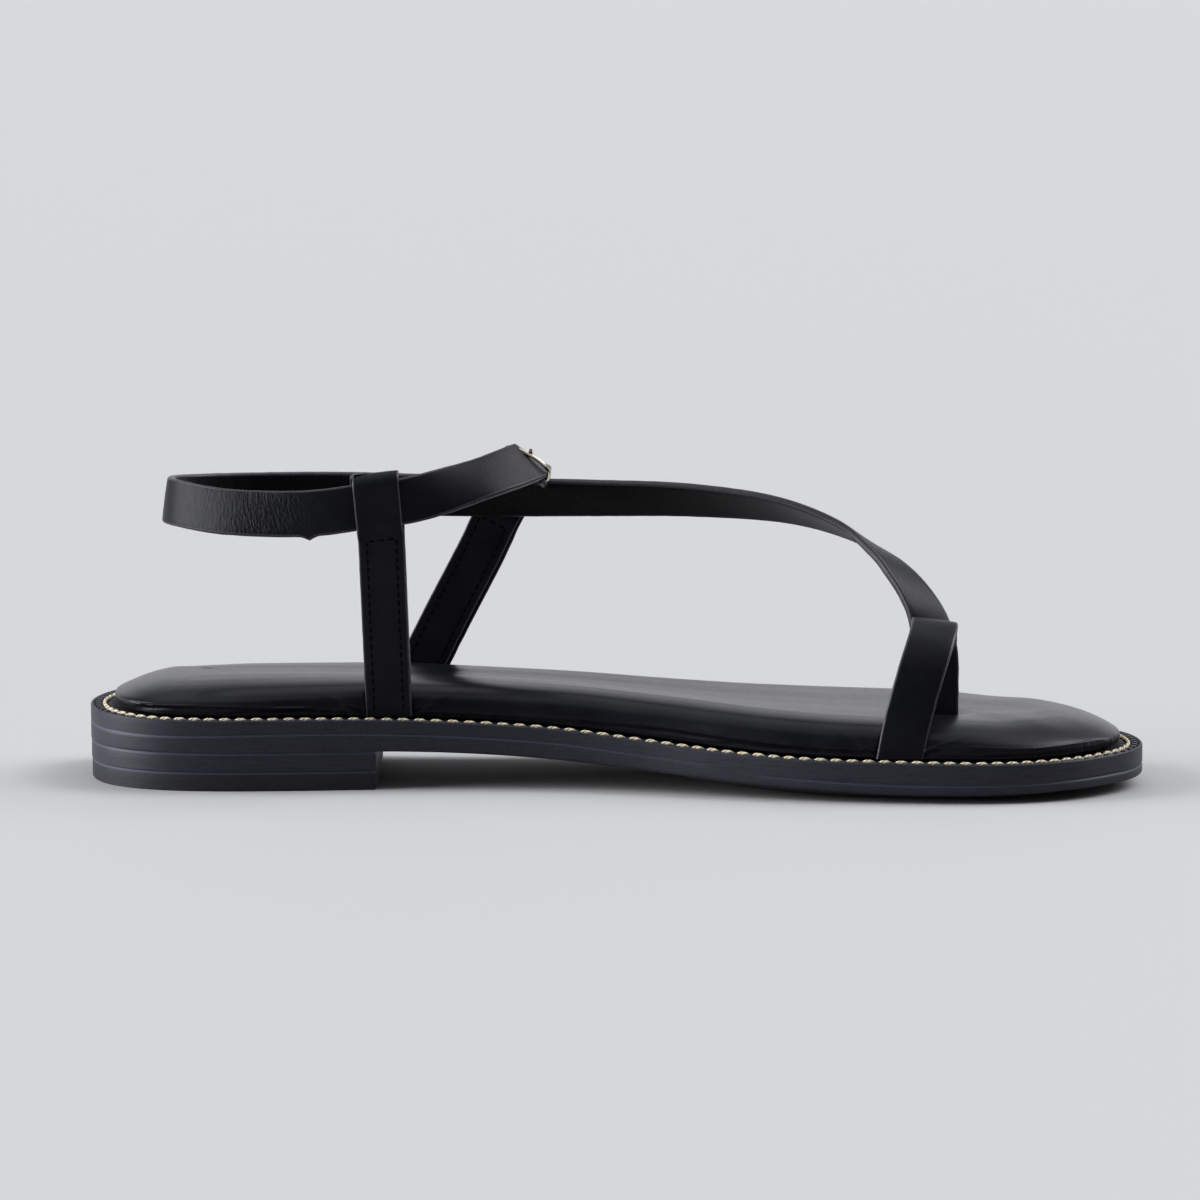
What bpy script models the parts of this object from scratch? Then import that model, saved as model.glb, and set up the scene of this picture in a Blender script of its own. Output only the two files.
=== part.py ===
"""Strappy flat sandal for the left foot: stitched sole, padded footbed and narrow leather straps.

Sizes are in millimetres from the back of the heel (x, towards the toe), from the middle of the heel
(y, towards the little toe) and from the floor (z). They become metres when a mesh is made.
"""

import math
from typing import Callable, NamedTuple, Sequence

import bmesh
import bpy
from mathutils import Matrix, Vector

MM = 0.001
GAP = 0.3  # clearance between two pieces that touch

# Sole
SOLE_LENGTH = 255.0
MIDSOLE_THICKNESS = 3.4
LIP_RADIUS = 1.2
RIM_WIDTH = 5.5
BED_INSET = 12.0  # a ring that the midsole's top and the footbed's underside share
HEEL_LENGTH = 72.0
HEEL_SEAM = 4.5  # height of the seam between the heel's lift and its top piece
HEEL_STEP = 0.5  # each heel layer is this much smaller than the one above
GROOVE_DEPTH = 0.5
GROOVE_RISE = 2.3  # height of the forefoot groove above the outsole's lower edge
GROOVE_START = 135.0
GROOVE_FADE = 25.0  # the groove reaches its depth over this length
TREAD_FLAT = 13.0  # the underside is level from this far inside its edge
EDGE_ROUND = 0.4  # small rounding where two layers meet
FOOT_ROUND = 0.8  # rounding of the outsole's lower edge
CORE = 0.8  # the innermost ring lies this far from the outline towards the middle line
SPINE_START = 24.0  # the middle line begins this far from the heel's back
SPINE_SHARE = 0.82  # and its length is this part of the sole's
BED_CROWN = 13.0  # the footbed's top is almost level from this far inside the rim
BED_DISH = 0.97  # height of the footbed's middle as a part of its crown

# Straps
STRAP_WIDTH = 11.0
STRAP_THICKNESS = 1.8
PLY = 1.5
SLOT_CLEARANCE = 0.35
LOOP_SLACK = 0.65  # the loop is this much looser than a touching fit

# Buckle
WIRE_RADIUS = 0.8
FRAME_WIDTH = 13.8
FRAME_CORNER = 1.5
FOLD_PLY = 1.2
FOLD_WIDTH = 10.0
PRONG_RADIUS = 0.6


class Section(NamedTuple):
    """One row of the sole: its two edges and the heights of its layers."""

    x: float
    medial: float
    lateral: float
    rim: float  # top of the midsole
    edge: float  # lower edge of the outsole's side
    tread: float  # underside at the middle
    pad: float  # rise of the footbed above the rim


SECTIONS = (
    Section(0.0, 4.0, 4.0, 17.5, 9.2, 9.2, 8.2),
    Section(2.5, -12.2, 21.0, 17.5, 9.2, 9.2, 8.2),
    Section(8.5, -23.8, 29.2, 17.3, 9.2, 9.2, 8.3),
    Section(19.0, -31.2, 33.0, 17.0, 9.2, 9.2, 8.5),
    Section(34.0, -33.6, 34.0, 16.9, 9.2, 9.2, 8.6),
    Section(55.0, -31.6, 34.0, 16.9, 9.2, 9.2, 8.6),
    Section(75.0, -28.1, 34.0, 16.6, 9.1, 9.1, 8.6),
    Section(95.0, -25.6, 34.6, 15.7, 8.4, 8.1, 8.6),
    Section(115.0, -25.6, 36.4, 14.4, 7.1, 6.4, 8.7),
    Section(135.0, -29.4, 39.4, 12.3, 5.3, 4.0, 9.0),
    Section(155.0, -36.6, 42.8, 10.6, 3.7, 1.4, 9.1),
    Section(175.0, -42.6, 45.5, 9.7, 2.7, 0.0, 9.0),
    Section(195.0, -45.4, 45.7, 9.5, 2.0, 0.0, 8.7),
    Section(212.0, -45.8, 43.0, 9.3, 1.9, 0.0, 8.2),
    Section(226.0, -43.6, 38.4, 9.3, 2.1, 0.2, 7.5),
    Section(238.0, -37.6, 31.6, 9.5, 2.5, 1.0, 6.8),
    Section(247.0, -28.4, 22.6, 9.7, 2.7, 1.8, 6.2),
    Section(252.8, -18.6, 9.6, 9.9, 2.8, 2.3, 5.8),
    Section(255.0, -6.0, -6.0, 10.0, 2.8, 2.6, 5.6),
)


class Fold(NamedTuple):
    """One row of a strap: its middle, and the way across it towards its front or lower edge."""

    x: float
    y: float
    z: float
    across_x: float
    across_y: float
    across_z: float


LONG_STRAP = (
    Fold(205.3, -14.5, 9.9, 1.0, 0.0, 0.0),
    Fold(205.3, -14.5, 20.0, 1.0, 0.05, 0.0),
    Fold(205.2, -13.8, 32.0, 1.0, 0.25, 0.0),
    Fold(203.5, -11.5, 39.8, 0.8, 0.55, -0.04),
    Fold(200.7, -8.9, 45.2, 0.7, 0.7, -0.06),
    Fold(196.7, -5.5, 50.2, 0.58, 0.8, -0.08),
    Fold(192.0, -1.8, 54.4, 0.41, 0.9, -0.16),
    Fold(182.6, 4.5, 59.9, 0.16, 0.93, -0.35),
    Fold(167.0, 12.0, 64.0, 0.2, 0.8, -0.56),
    Fold(145.0, 19.5, 65.5, 0.1, 0.68, -0.72),
    Fold(122.0, 24.9, 65.4, 0.0, 0.6, -0.8),
    Fold(100.0, 27.5, 65.3, 0.0, 0.5, -0.87),
    Fold(78.0, 28.0, 65.7, 0.0, 0.35, -0.94),
    Fold(56.0, 26.4, 66.1, 0.0, 0.25, -0.97),
    Fold(37.0, 21.6, 66.2, 0.0, 0.25, -0.97),
    Fold(24.0, 12.0, 66.5, -0.08, 0.2, -0.98),
    Fold(19.6, 0.0, 66.9, -0.13, 0.0, -0.99),
    Fold(24.0, -12.0, 66.7, -0.08, -0.25, -0.96),
    Fold(37.0, -22.2, 65.7, 0.0, -0.3, -0.95),
    Fold(56.0, -26.4, 65.8, 0.0, -0.15, -0.98),
    Fold(72.3, -26.3, 68.0, 0.13, -0.05, -0.99),
    Fold(82.0, -24.8, 69.9, 0.2, -0.1, -0.97),
    Fold(96.4, -16.0, 74.3, 0.35, -0.58, -0.74),
    Fold(106.2, -4.7, 75.8, 0.85, -0.15, -0.5),
    Fold(107.4, 2.0, 76.4, 0.86, -0.05, -0.5),
    Fold(107.9, 8.0, 76.2, 0.9, 0.05, -0.4),
    Fold(106.2, 18.7, 76.1, 0.93, 0.16, -0.3),
    Fold(103.5, 27.2, 74.5, 0.91, 0.29, -0.27),
    Fold(100.3, 32.1, 68.4, 0.86, 0.28, -0.5),
    Fold(97.0, 35.8, 60.6, 0.9, 0.1, -0.42),
    Fold(93.0, 35.2, 50.7, 0.92, 0.0, -0.4),
)

TOE_STRAP = (
    Fold(197.0, -39.8, 9.9, 1.0, 0.0, -0.05),
    Fold(198.6, -39.2, 18.0, 1.0, 0.0, -0.15),
    Fold(201.3, -36.4, 28.0, 1.0, 0.0, -0.2),
    Fold(203.7, -31.4, 35.4, 1.0, 0.0, -0.18),
    Fold(204.9, -25.0, 38.9, 1.0, 0.0, -0.15),
    Fold(205.0, -18.0, 39.9, 1.0, 0.0, -0.15),
    Fold(204.2, -11.0, 39.8, 0.95, 0.2, -0.12),
)

LATERAL_POST = (
    Fold(76.4, 28.2, 17.0, 0.92, 0.0, -0.38),
    Fold(84.6, 30.0, 34.0, 0.92, 0.0, -0.4),
    Fold(92.8, 32.2, 51.0, 0.92, 0.0, -0.4),
    Fold(97.0, 32.9, 60.0, 0.9, 0.09, -0.42),
    Fold(100.3, 29.3, 66.7, 0.86, 0.28, -0.5),
    Fold(103.2, 25.8, 71.8, 0.91, 0.29, -0.25),
    Fold(105.4, 18.4, 73.4, 0.93, 0.16, -0.31),
    Fold(106.5, 8.6, 72.9, 0.87, -0.05, -0.5),
)

MEDIAL_POST_FOOT = Vector((74.6, -21.9, 17.0))
MEDIAL_POST_TOP = Vector((73.3, -26.0, 59.6))
MEDIAL_LOOP = Vector((73.0, -26.25, 68.1))  # middle of the strap inside the loop
LOOP_RISE = 0.15  # the loop follows the strap, which climbs this much per millimetre forwards
LOOP_YAW = 0.1  # and turns inwards this much

NEAR_BAR = Vector((107.2, -4.8, 77.7))
FAR_BAR = Vector((106.5, 7.6, 72.9))
FRAME_ALONG = (FAR_BAR - NEAR_BAR).normalized()
BAR_DIRECTION = -Vector((0.87, -0.05, -0.5)).cross(FRAME_ALONG).cross(FRAME_ALONG).normalized()


def new_collection(name: str) -> bpy.types.Collection:
    """Make a collection in the scene."""
    collection = bpy.data.collections.new(name)
    bpy.context.scene.collection.children.link(collection)
    return collection


def new_material(name: str, colour: tuple[float, float, float], roughness: float, metallic: float = 0.0):
    """Make a plain material."""
    material = bpy.data.materials.new(name)
    material.use_nodes = True
    shader = material.node_tree.nodes["Principled BSDF"]
    shader.inputs["Base Color"].default_value = (*colour, 1.0)
    shader.inputs["Roughness"].default_value = roughness
    shader.inputs["Metallic"].default_value = metallic
    material.diffuse_color = (*colour, 1.0)
    return material


def curve(rows: Sequence[tuple], per_span: int, before: tuple | None = None,
          after: tuple | None = None) -> list:
    """Return a Catmull-Rom curve through rows, each column in the same way.

    before and after are rows beyond the two ends. Without them the ends run straight on.
    """
    first, last = rows[0], rows[-1]
    before = before or tuple(2 * a - b for a, b in zip(first, rows[1]))
    after = after or tuple(2 * a - b for a, b in zip(last, rows[-2]))
    padded = [before, *rows, after]
    points = []
    for i in range(1, len(padded) - 2):
        for step in range(per_span):
            t = step / per_span
            points.append(tuple(
                b + 0.5 * t * (c - a + t * (2 * a - 5 * b + 4 * c - d + t * (3 * b - a - 3 * c + d)))
                for a, b, c, d in zip(padded[i - 1], padded[i], padded[i + 1], padded[i + 2])
            ))
    points.append(tuple(last))
    return points


def other_side(row: Section) -> Section:
    """Return a section with its two edges swapped, so that a curve runs on round the heel or the toe."""
    return row._replace(medial=row.lateral, lateral=row.medial)


def sole_sections(per_span: int) -> list[Section]:
    """Return the sole's sections at close steps."""
    rows = curve(SECTIONS, per_span, other_side(SECTIONS[1]), other_side(SECTIONS[-2]))
    sections = [Section(*row) for row in rows]
    return [section._replace(tread=max(0.0, section.tread)) for section in sections]


def smooth(t: float) -> float:
    """Ease from 0 to 1."""
    t = min(1.0, max(0.0, t))
    return t * t * (3 - 2 * t)


def spine(row: Section) -> Vector:
    """Return the point on the sole's middle line that a section closes to."""
    return Vector((SPINE_START + SPINE_SHARE * row.x, (row.medial + row.lateral) / 2))


def outline_ring(rows: Sequence[Section], inset: float, height: Callable[[Section], float],
                 middle: float = 0.0) -> list[Vector]:
    """Return one closed ring: the outline moved in, then drawn towards the sole's middle line.

    The ring runs along the medial edge from heel to toe and back along the lateral edge.
    """
    sides = [(row, Vector((row.x, row.medial))) for row in rows]
    sides += [(row, Vector((row.x, row.lateral))) for row in reversed(rows)]
    flat = [point for _, point in sides]
    count = len(flat)
    ring = []
    for i, (row, point) in enumerate(sides):
        others = [flat[(i + k) % count] for k in range(1, count)]
        ahead = next(other for other in others if (other - point).length > 0.01)
        behind = next(other for other in reversed(others) if (other - point).length > 0.01)
        along = (ahead - behind).normalized()
        moved = point + Vector((-along.y, along.x)) * inset
        moved = moved.lerp(spine(row), middle)
        ring.append(Vector((moved.x, moved.y, height(row))))
    return ring


def mesh_object(name: str, mesh: bmesh.types.BMesh, collection, material) -> bpy.types.Object:
    """Turn a bmesh in millimetres into an object in metres, centred on the sole's length."""
    bmesh.ops.recalc_face_normals(mesh, faces=mesh.faces)
    bmesh.ops.translate(mesh, verts=mesh.verts, vec=(-SOLE_LENGTH / 2, 0.0, 0.0))
    bmesh.ops.scale(mesh, verts=mesh.verts, vec=(MM, MM, MM))
    data = bpy.data.meshes.new(name)
    mesh.to_mesh(data)
    mesh.free()
    data.materials.append(material)
    shape = bpy.data.objects.new(name, data)
    collection.objects.link(shape)
    return shape


def loft(rings: Sequence[Sequence[Vector]], ladder: bool, closed: bool = False) -> bmesh.types.BMesh:
    """Join rings of equal length into one body.

    A ladder closes a sole ring across its width. Without it the ends are single faces, and a closed
    loft joins its last ring to its first.
    """
    mesh = bmesh.new()
    layers = [[mesh.verts.new(point) for point in ring] for ring in rings]
    count = len(layers[0])
    pairs = list(zip(layers, layers[1:]))
    if closed:
        pairs.append((layers[-1], layers[0]))
    for low, high in pairs:
        for i in range(count):
            j = (i + 1) % count
            mesh.faces.new((low[i], low[j], high[j], high[i]))
    for ring in () if closed else (layers[0], layers[-1]):
        if ladder:
            for i in range(count // 2 - 1):
                mesh.faces.new((ring[i], ring[i + 1], ring[count - 2 - i], ring[count - 1 - i]))
        else:
            mesh.faces.new(ring)
    bmesh.ops.remove_doubles(mesh, verts=mesh.verts, dist=0.01)
    return mesh


def ribbon(rows: Sequence[Fold], per_span: int, width: float, thickness: float) -> bmesh.types.BMesh:
    """Make a strap along its rows, with softened edges and its first end cut level."""
    steps = [Fold(*row) for row in curve(rows, per_span)]
    middles = [Vector((step.x, step.y, step.z)) for step in steps]
    half, thin, soft = width / 2, thickness / 2, thickness * 0.22
    outline = (
        (half - soft, thin), (half, thin - soft), (half, soft - thin), (half - soft, -thin),
        (soft - half, -thin), (-half, soft - thin), (-half, thin - soft), (soft - half, thin),
    )
    rings = []
    for i, step in enumerate(steps):
        along = (middles[min(i + 1, len(steps) - 1)] - middles[max(i - 1, 0)]).normalized()
        across = Vector((step.across_x, step.across_y, step.across_z))
        across = (across - along * across.dot(along)).normalized()
        out = along.cross(across)
        rings.append([middles[i] + across * a + out * b for a, b in outline])
    along = (middles[1] - middles[0]).normalized()
    rings[0] = [point + along * ((middles[0].z - point.z) / along.z) for point in rings[0]]
    return loft(rings, ladder=False)


def tube(path: Sequence[Vector], radius: float, closed: bool, taper: float = 1.0,
         sides: int = 8) -> bmesh.types.BMesh:
    """Make a round wire along a path. taper is the radius of its end as a part of radius."""
    rings = []
    count = len(path)
    side = Vector((0.0, 0.0, 1.0))
    for i, point in enumerate(path):
        ahead = path[(i + 1) % count] if closed else path[min(i + 1, count - 1)]
        behind = path[i - 1] if closed else path[max(i - 1, 0)]
        along = (ahead - behind).normalized()
        side = (side - along * side.dot(along)).normalized()
        other = along.cross(side)
        size = radius * (1 + (taper - 1) * smooth(i / (count - 1) * 4 - 3))
        turns = [2 * math.pi * k / sides for k in range(sides)]
        rings.append([point + (side * math.cos(turn) + other * math.sin(turn)) * size for turn in turns])
    return loft(rings, ladder=False, closed=closed)


def build_midsole(parts, material) -> bpy.types.Object:
    """Make the sole's top layer, with its rounded lip."""
    rows = sole_sections(2)

    def below(depth: float) -> Callable[[Section], float]:
        return lambda row: row.rim - depth

    bottom = MIDSOLE_THICKNESS
    rings = [
        outline_ring(rows, BED_INSET, below(0.0), middle=CORE),
        outline_ring(rows, BED_INSET, below(0.0)),
        outline_ring(rows, LIP_RADIUS, below(0.0)),
        outline_ring(rows, 0.3 * LIP_RADIUS, below(0.3 * LIP_RADIUS)),
        outline_ring(rows, 0.0, below(LIP_RADIUS)),
        outline_ring(rows, 0.0, below(bottom - EDGE_ROUND)),
        outline_ring(rows, EDGE_ROUND, below(bottom)),
        outline_ring(rows, BED_INSET, below(bottom), middle=CORE),
    ]
    return mesh_object("midsole", loft(rings, ladder=True), parts, material)


def build_outsole(parts, material) -> bpy.types.Object:
    """Make the outsole: arch, toe spring, level tread under the ball and the groove round the forefoot."""
    rows = sole_sections(2)

    def top(row: Section) -> float:
        return row.rim - MIDSOLE_THICKNESS - GAP

    def rise(amount: float) -> Callable[[Section], float]:
        return lambda row: row.edge + amount

    def tread(share: float) -> Callable[[Section], float]:
        return lambda row: row.edge + (row.tread - row.edge) * share

    def wall(amount: float, depth: float) -> list[Vector]:
        plain = outline_ring(rows, 0.0, rise(amount))
        cut = outline_ring(rows, depth, rise(amount))
        fade = [smooth((row.x - GROOVE_START) / GROOVE_FADE) for row in rows]
        return [a.lerp(b, share) for a, b, share in zip(plain, cut, fade + fade[::-1])]

    rings = [
        outline_ring(rows, BED_INSET, top, middle=CORE),
        outline_ring(rows, EDGE_ROUND, top),
        outline_ring(rows, 0.0, lambda row: top(row) - EDGE_ROUND),
        wall(GROOVE_RISE + GROOVE_DEPTH, 0.0),
        wall(GROOVE_RISE, GROOVE_DEPTH),
        wall(GROOVE_RISE - GROOVE_DEPTH, 0.0),
        outline_ring(rows, 0.0, rise(FOOT_ROUND)),
        outline_ring(rows, FOOT_ROUND, rise(0.0)),
        outline_ring(rows, 0.45 * TREAD_FLAT, tread(0.62)),
        outline_ring(rows, TREAD_FLAT, tread(1.0)),
        outline_ring(rows, TREAD_FLAT, tread(1.0), middle=CORE),
    ]
    return mesh_object("outsole", loft(rings, ladder=True), parts, material)


def build_heel_layer(name: str, low: float, high: float, inset: float, parts, material) -> bpy.types.Object:
    """Make one layer of the heel, straight across its front."""
    rows = [row for row in sole_sections(2) if row.x < HEEL_LENGTH - 2.0]
    front = min(sole_sections(8), key=lambda row: abs(row.x - HEEL_LENGTH))
    rows.append(front._replace(x=HEEL_LENGTH))
    rings = [
        outline_ring(rows, inset + EDGE_ROUND, lambda row: high),
        outline_ring(rows, inset, lambda row: high - EDGE_ROUND),
        outline_ring(rows, inset, lambda row: low + EDGE_ROUND),
        outline_ring(rows, inset + EDGE_ROUND, lambda row: low),
    ]
    return mesh_object(name, loft(rings, ladder=True), parts, material)


def build_footbed(parts, material) -> bpy.types.Object:
    """Make the padded footbed with its round sides."""
    rows = sole_sections(2)

    def lift(share: float) -> Callable[[Section], float]:
        return lambda row: row.rim + GAP + (row.pad - GAP) * share

    profile = (
        (BED_INSET - RIM_WIDTH, 0.0), (0.9, 0.0), (0.1, 0.1), (0.0, 0.32),
        (0.4, 0.56), (1.5, 0.77), (3.6, 0.92), (7.0, 0.99),
    )
    rings = [outline_ring(rows, BED_INSET, lift(0.0), middle=CORE)]
    rings += [outline_ring(rows, RIM_WIDTH + inset, lift(share)) for inset, share in profile]
    rings.append(outline_ring(rows, BED_CROWN, lift(1.0), middle=0.25))
    rings.append(outline_ring(rows, BED_CROWN, lift(BED_DISH), middle=CORE))
    return mesh_object("footbed", loft(rings, ladder=True), parts, material)


def build_medial_post(parts, material) -> bpy.types.Object:
    """Make the doubled post and the loop at its top as one bent prism."""
    eye_half = STRAP_WIDTH / 2 + GAP + 0.45
    eye_thin = STRAP_THICKNESS / 2 + GAP + LOOP_SLACK
    inner, outer = [], []
    for k in range(12):
        turn = math.radians(-75 + 30 * k)
        side = math.copysign(1.0, math.sin(turn))
        centre = Vector((0.0, side * (eye_half - eye_thin)))
        way = Vector((math.cos(turn), math.sin(turn)))
        inner.append(centre + way * eye_thin)
        outer.append(centre + way * (eye_thin + PLY))
    mesh = bmesh.new()
    base = MEDIAL_LOOP

    def at(flat: Vector) -> Vector:
        return Vector((0.0, base.y + flat.x, base.z + flat.y))

    inner_verts = [mesh.verts.new(at(point)) for point in inner]
    outer_verts = [mesh.verts.new(at(point)) for point in outer]
    for k in range(12):
        j = (k + 1) % 12
        mesh.faces.new((inner_verts[k], inner_verts[j], outer_verts[j], outer_verts[k]))
    left, right = outer_verts[11], outer_verts[0]
    heights = (1.0, 0.93, 0.8, 0.6, 0.4, 0.2, 0.0)
    for share in heights:
        middle = MEDIAL_POST_FOOT.lerp(MEDIAL_POST_TOP, share)
        near = mesh.verts.new((0.0, middle.y - PLY, middle.z))
        far = mesh.verts.new((0.0, middle.y + PLY, middle.z))
        mesh.faces.new((left, right, far, near))
        left, right = near, far
    made = bmesh.ops.extrude_face_region(mesh, geom=list(mesh.faces))
    front = {vert for vert in made["geom"] if isinstance(vert, bmesh.types.BMVert)}
    lean = (MEDIAL_LOOP.x - MEDIAL_POST_FOOT.x) / (MEDIAL_LOOP.z - MEDIAL_POST_FOOT.z)
    for vert in mesh.verts:
        side = STRAP_WIDTH / 2 if vert in front else -STRAP_WIDTH / 2
        loop_share = smooth((vert.co.z - 45.0) / 17.0)
        vert.co.x = MEDIAL_POST_FOOT.x + lean * (vert.co.z - MEDIAL_POST_FOOT.z) + side
        vert.co.y += LOOP_YAW * side * loop_share
        vert.co.z += LOOP_RISE * side * loop_share
    return mesh_object("medial_post", mesh, parts, material)


def frame_path() -> list[Vector]:
    """Return the buckle frame's middle line, a rounded rectangle between its two bars."""
    middle = (NEAR_BAR + FAR_BAR) / 2
    half = Vector(((FAR_BAR - NEAR_BAR).length / 2, FRAME_WIDTH / 2))
    path = []
    for quarter, (sx, sy) in enumerate(((1, 1), (-1, 1), (-1, -1), (1, -1))):
        for k in range(4):
            turn = math.radians(90 * quarter + 30 * k)
            flat = Vector((sx * (half.x - FRAME_CORNER), sy * (half.y - FRAME_CORNER)))
            flat += Vector((math.cos(turn), math.sin(turn))) * FRAME_CORNER
            path.append(middle + FRAME_ALONG * flat.x + BAR_DIRECTION * flat.y)
    return path


def prong_path() -> list[Vector]:
    """Return the prong's middle line: round the far bar, up through the strap and onto the near bar."""
    along = -FRAME_ALONG
    up = BAR_DIRECTION.cross(FRAME_ALONG)
    ring = WIRE_RADIUS + GAP + PRONG_RADIUS
    path = []
    for k in range(9):
        turn = math.radians(-150 - 30 * k)
        path.append(FAR_BAR + (along * math.cos(turn) + up * math.sin(turn)) * ring)
    reach = (NEAR_BAR - FAR_BAR).length
    rest = WIRE_RADIUS + GAP + PRONG_RADIUS
    rises = ((0.35, 0.5), (0.6, 0.5), (0.85, 0.2), (1.0, 0.0), (1.1, -0.2))
    for share, rise in rises:
        path.append(FAR_BAR + along * reach * share + up * (rest + rise))
    return path


def box(name: str, centre: Vector, size: Vector, across: Vector, up: Vector, collection,
        material) -> bpy.types.Object:
    """Make a box turned so that its x runs across and its z runs up."""
    mesh = bmesh.new()
    across = across.normalized()
    up = (up - across * up.dot(across)).normalized()
    turn = Matrix((across, up.cross(across), up)).transposed().to_4x4()
    place = Matrix.Translation(centre) @ turn @ Matrix.Diagonal((*size, 1.0))
    bmesh.ops.create_cube(mesh, size=1.0, matrix=place)
    return mesh_object(name, mesh, collection, material)


def boolean(shape: bpy.types.Object, tool: bpy.types.Object, operation: str) -> None:
    """Cut a shape with a tool, or join the tool to it."""
    modifier = shape.modifiers.new(f"{operation.lower()} {tool.name}", "BOOLEAN")
    modifier.operation = operation
    modifier.solver = "EXACT"
    modifier.object = tool
    tool.hide_render = True
    tool.display_type = "WIRE"


def build_slots(footbed: bpy.types.Object, tools, material) -> None:
    """Cut the footbed where the four strap feet go down to the midsole."""
    medial_top = Fold(*MEDIAL_POST_TOP, 1.0, 0.0, 0.0)
    medial_foot = Fold(*MEDIAL_POST_FOOT, 1.0, 0.0, 0.0)
    feet = (
        ("toe post slot", LONG_STRAP[0], LONG_STRAP[1], STRAP_THICKNESS, 0.0),
        ("toe strap slot", TOE_STRAP[0], TOE_STRAP[1], STRAP_THICKNESS, 4.0),
        ("lateral post slot", LATERAL_POST[0], LATERAL_POST[1], 2 * PLY, -4.0),
        ("medial post slot", medial_foot, medial_top, 2 * PLY, 4.0),
    )
    margin = 2 * SLOT_CLEARANCE
    for name, low, high, thickness, opening in feet:
        foot = Vector((low.x, low.y, low.z))
        up = (Vector((high.x, high.y, high.z)) - foot).normalized()
        across = Vector((low.across_x, low.across_y, low.across_z))
        across = across - up * across.dot(up)
        size = Vector((STRAP_WIDTH + margin, thickness + margin + abs(opening), 40.0))
        centre = foot + up * 10.0 + Vector((0.0, -opening / 2, 0.0))
        boolean(footbed, box(name, centre, size, across, up, tools, material), "DIFFERENCE")


def build_upper(parts, tools, material) -> bpy.types.Object:
    """Make the long strap and join the toe strap and the lateral post to it where they are sewn."""
    upper = mesh_object("upper", ribbon(LONG_STRAP, 3, STRAP_WIDTH, STRAP_THICKNESS), parts, material)
    toe = mesh_object("toe strap", ribbon(TOE_STRAP, 4, STRAP_WIDTH, STRAP_THICKNESS), tools, material)
    post = mesh_object("lateral post", ribbon(LATERAL_POST, 4, STRAP_WIDTH, 2 * PLY), tools, material)
    eye_radius = WIRE_RADIUS + GAP + FOLD_PLY
    sleeve_path = [FAR_BAR + BAR_DIRECTION * (FOLD_WIDTH * (k / 4 - 0.5)) for k in range(5)]
    sleeve = mesh_object("bar fold", tube(sleeve_path, eye_radius, False, sides=12), tools, material)
    bore_path = [FAR_BAR + BAR_DIRECTION * (STRAP_WIDTH * (k / 4 - 0.5) * 1.4) for k in range(5)]
    bore = mesh_object("bar bore", tube(bore_path, WIRE_RADIUS + GAP, False, sides=12), tools, material)
    prong_slot = box("prong slot", FAR_BAR - FRAME_ALONG * 2.0, Vector((2 * PRONG_RADIUS + 1.4, 9.6, 8.0)),
                     BAR_DIRECTION, BAR_DIRECTION.cross(FRAME_ALONG), tools, material)
    boolean(post, sleeve, "UNION")
    boolean(post, bore, "DIFFERENCE")
    boolean(post, prong_slot, "DIFFERENCE")
    boolean(upper, toe, "UNION")
    boolean(upper, post, "UNION")
    hole_row = LONG_STRAP[24]
    hole_middle = Vector((hole_row.x, hole_row.y, hole_row.z))
    hole_size = Vector((2 * PRONG_RADIUS + 1.0, 7.0, 8.0))
    hole = box("prong hole", hole_middle, hole_size, BAR_DIRECTION, Vector((0.3, 0.0, 1.0)), tools, material)
    boolean(upper, hole, "DIFFERENCE")
    return upper


def main() -> None:
    """Build every piece of the sandal."""
    for shape in list(bpy.data.objects):
        bpy.data.objects.remove(shape, do_unlink=True)
    parts = new_collection("strappy flat sandal")
    tools = new_collection("cutters")
    leather = new_material("strap leather", (0.02, 0.02, 0.022), 0.5)
    pad = new_material("footbed leather", (0.018, 0.018, 0.02), 0.35)
    sole = new_material("sole rubber", (0.03, 0.031, 0.035), 0.6)
    tread = new_material("tread rubber", (0.025, 0.025, 0.028), 0.75)
    metal = new_material("pale metal", (0.7, 0.66, 0.58), 0.25, 1.0)
    cutter = new_material("cutter", (0.8, 0.3, 0.2), 0.8)
    build_midsole(parts, sole)
    build_outsole(parts, sole)
    heel_top = SECTIONS[0].edge - GAP
    build_heel_layer("heel_lift", HEEL_SEAM + GAP / 2, heel_top, HEEL_STEP, parts, sole)
    build_heel_layer("heel_top_piece", 0.0, HEEL_SEAM - GAP / 2, 2 * HEEL_STEP, parts, tread)
    footbed = build_footbed(parts, pad)
    build_slots(footbed, tools, cutter)
    build_upper(parts, tools, leather)
    build_medial_post(parts, leather)
    mesh_object("buckle_frame", tube(frame_path(), WIRE_RADIUS, True), parts, metal)
    mesh_object("buckle_prong", tube(prong_path(), PRONG_RADIUS, False, taper=0.6), parts, metal)


if __name__ == "__main__":
    main()
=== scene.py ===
"""Looks of a strappy flat sandal for the left foot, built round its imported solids.

Sizes are in millimetres from the back of the heel (x, towards the toe), from the middle of the heel
(y, towards the little toe) and from the floor (z). They become metres when a piece is made.
"""

import logging
import math
from bisect import bisect_right
from dataclasses import dataclass, field
from enum import Enum, IntEnum
from typing import Callable, NamedTuple, Sequence

import bmesh
import bpy
from mathutils import Matrix, Vector, noise


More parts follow.
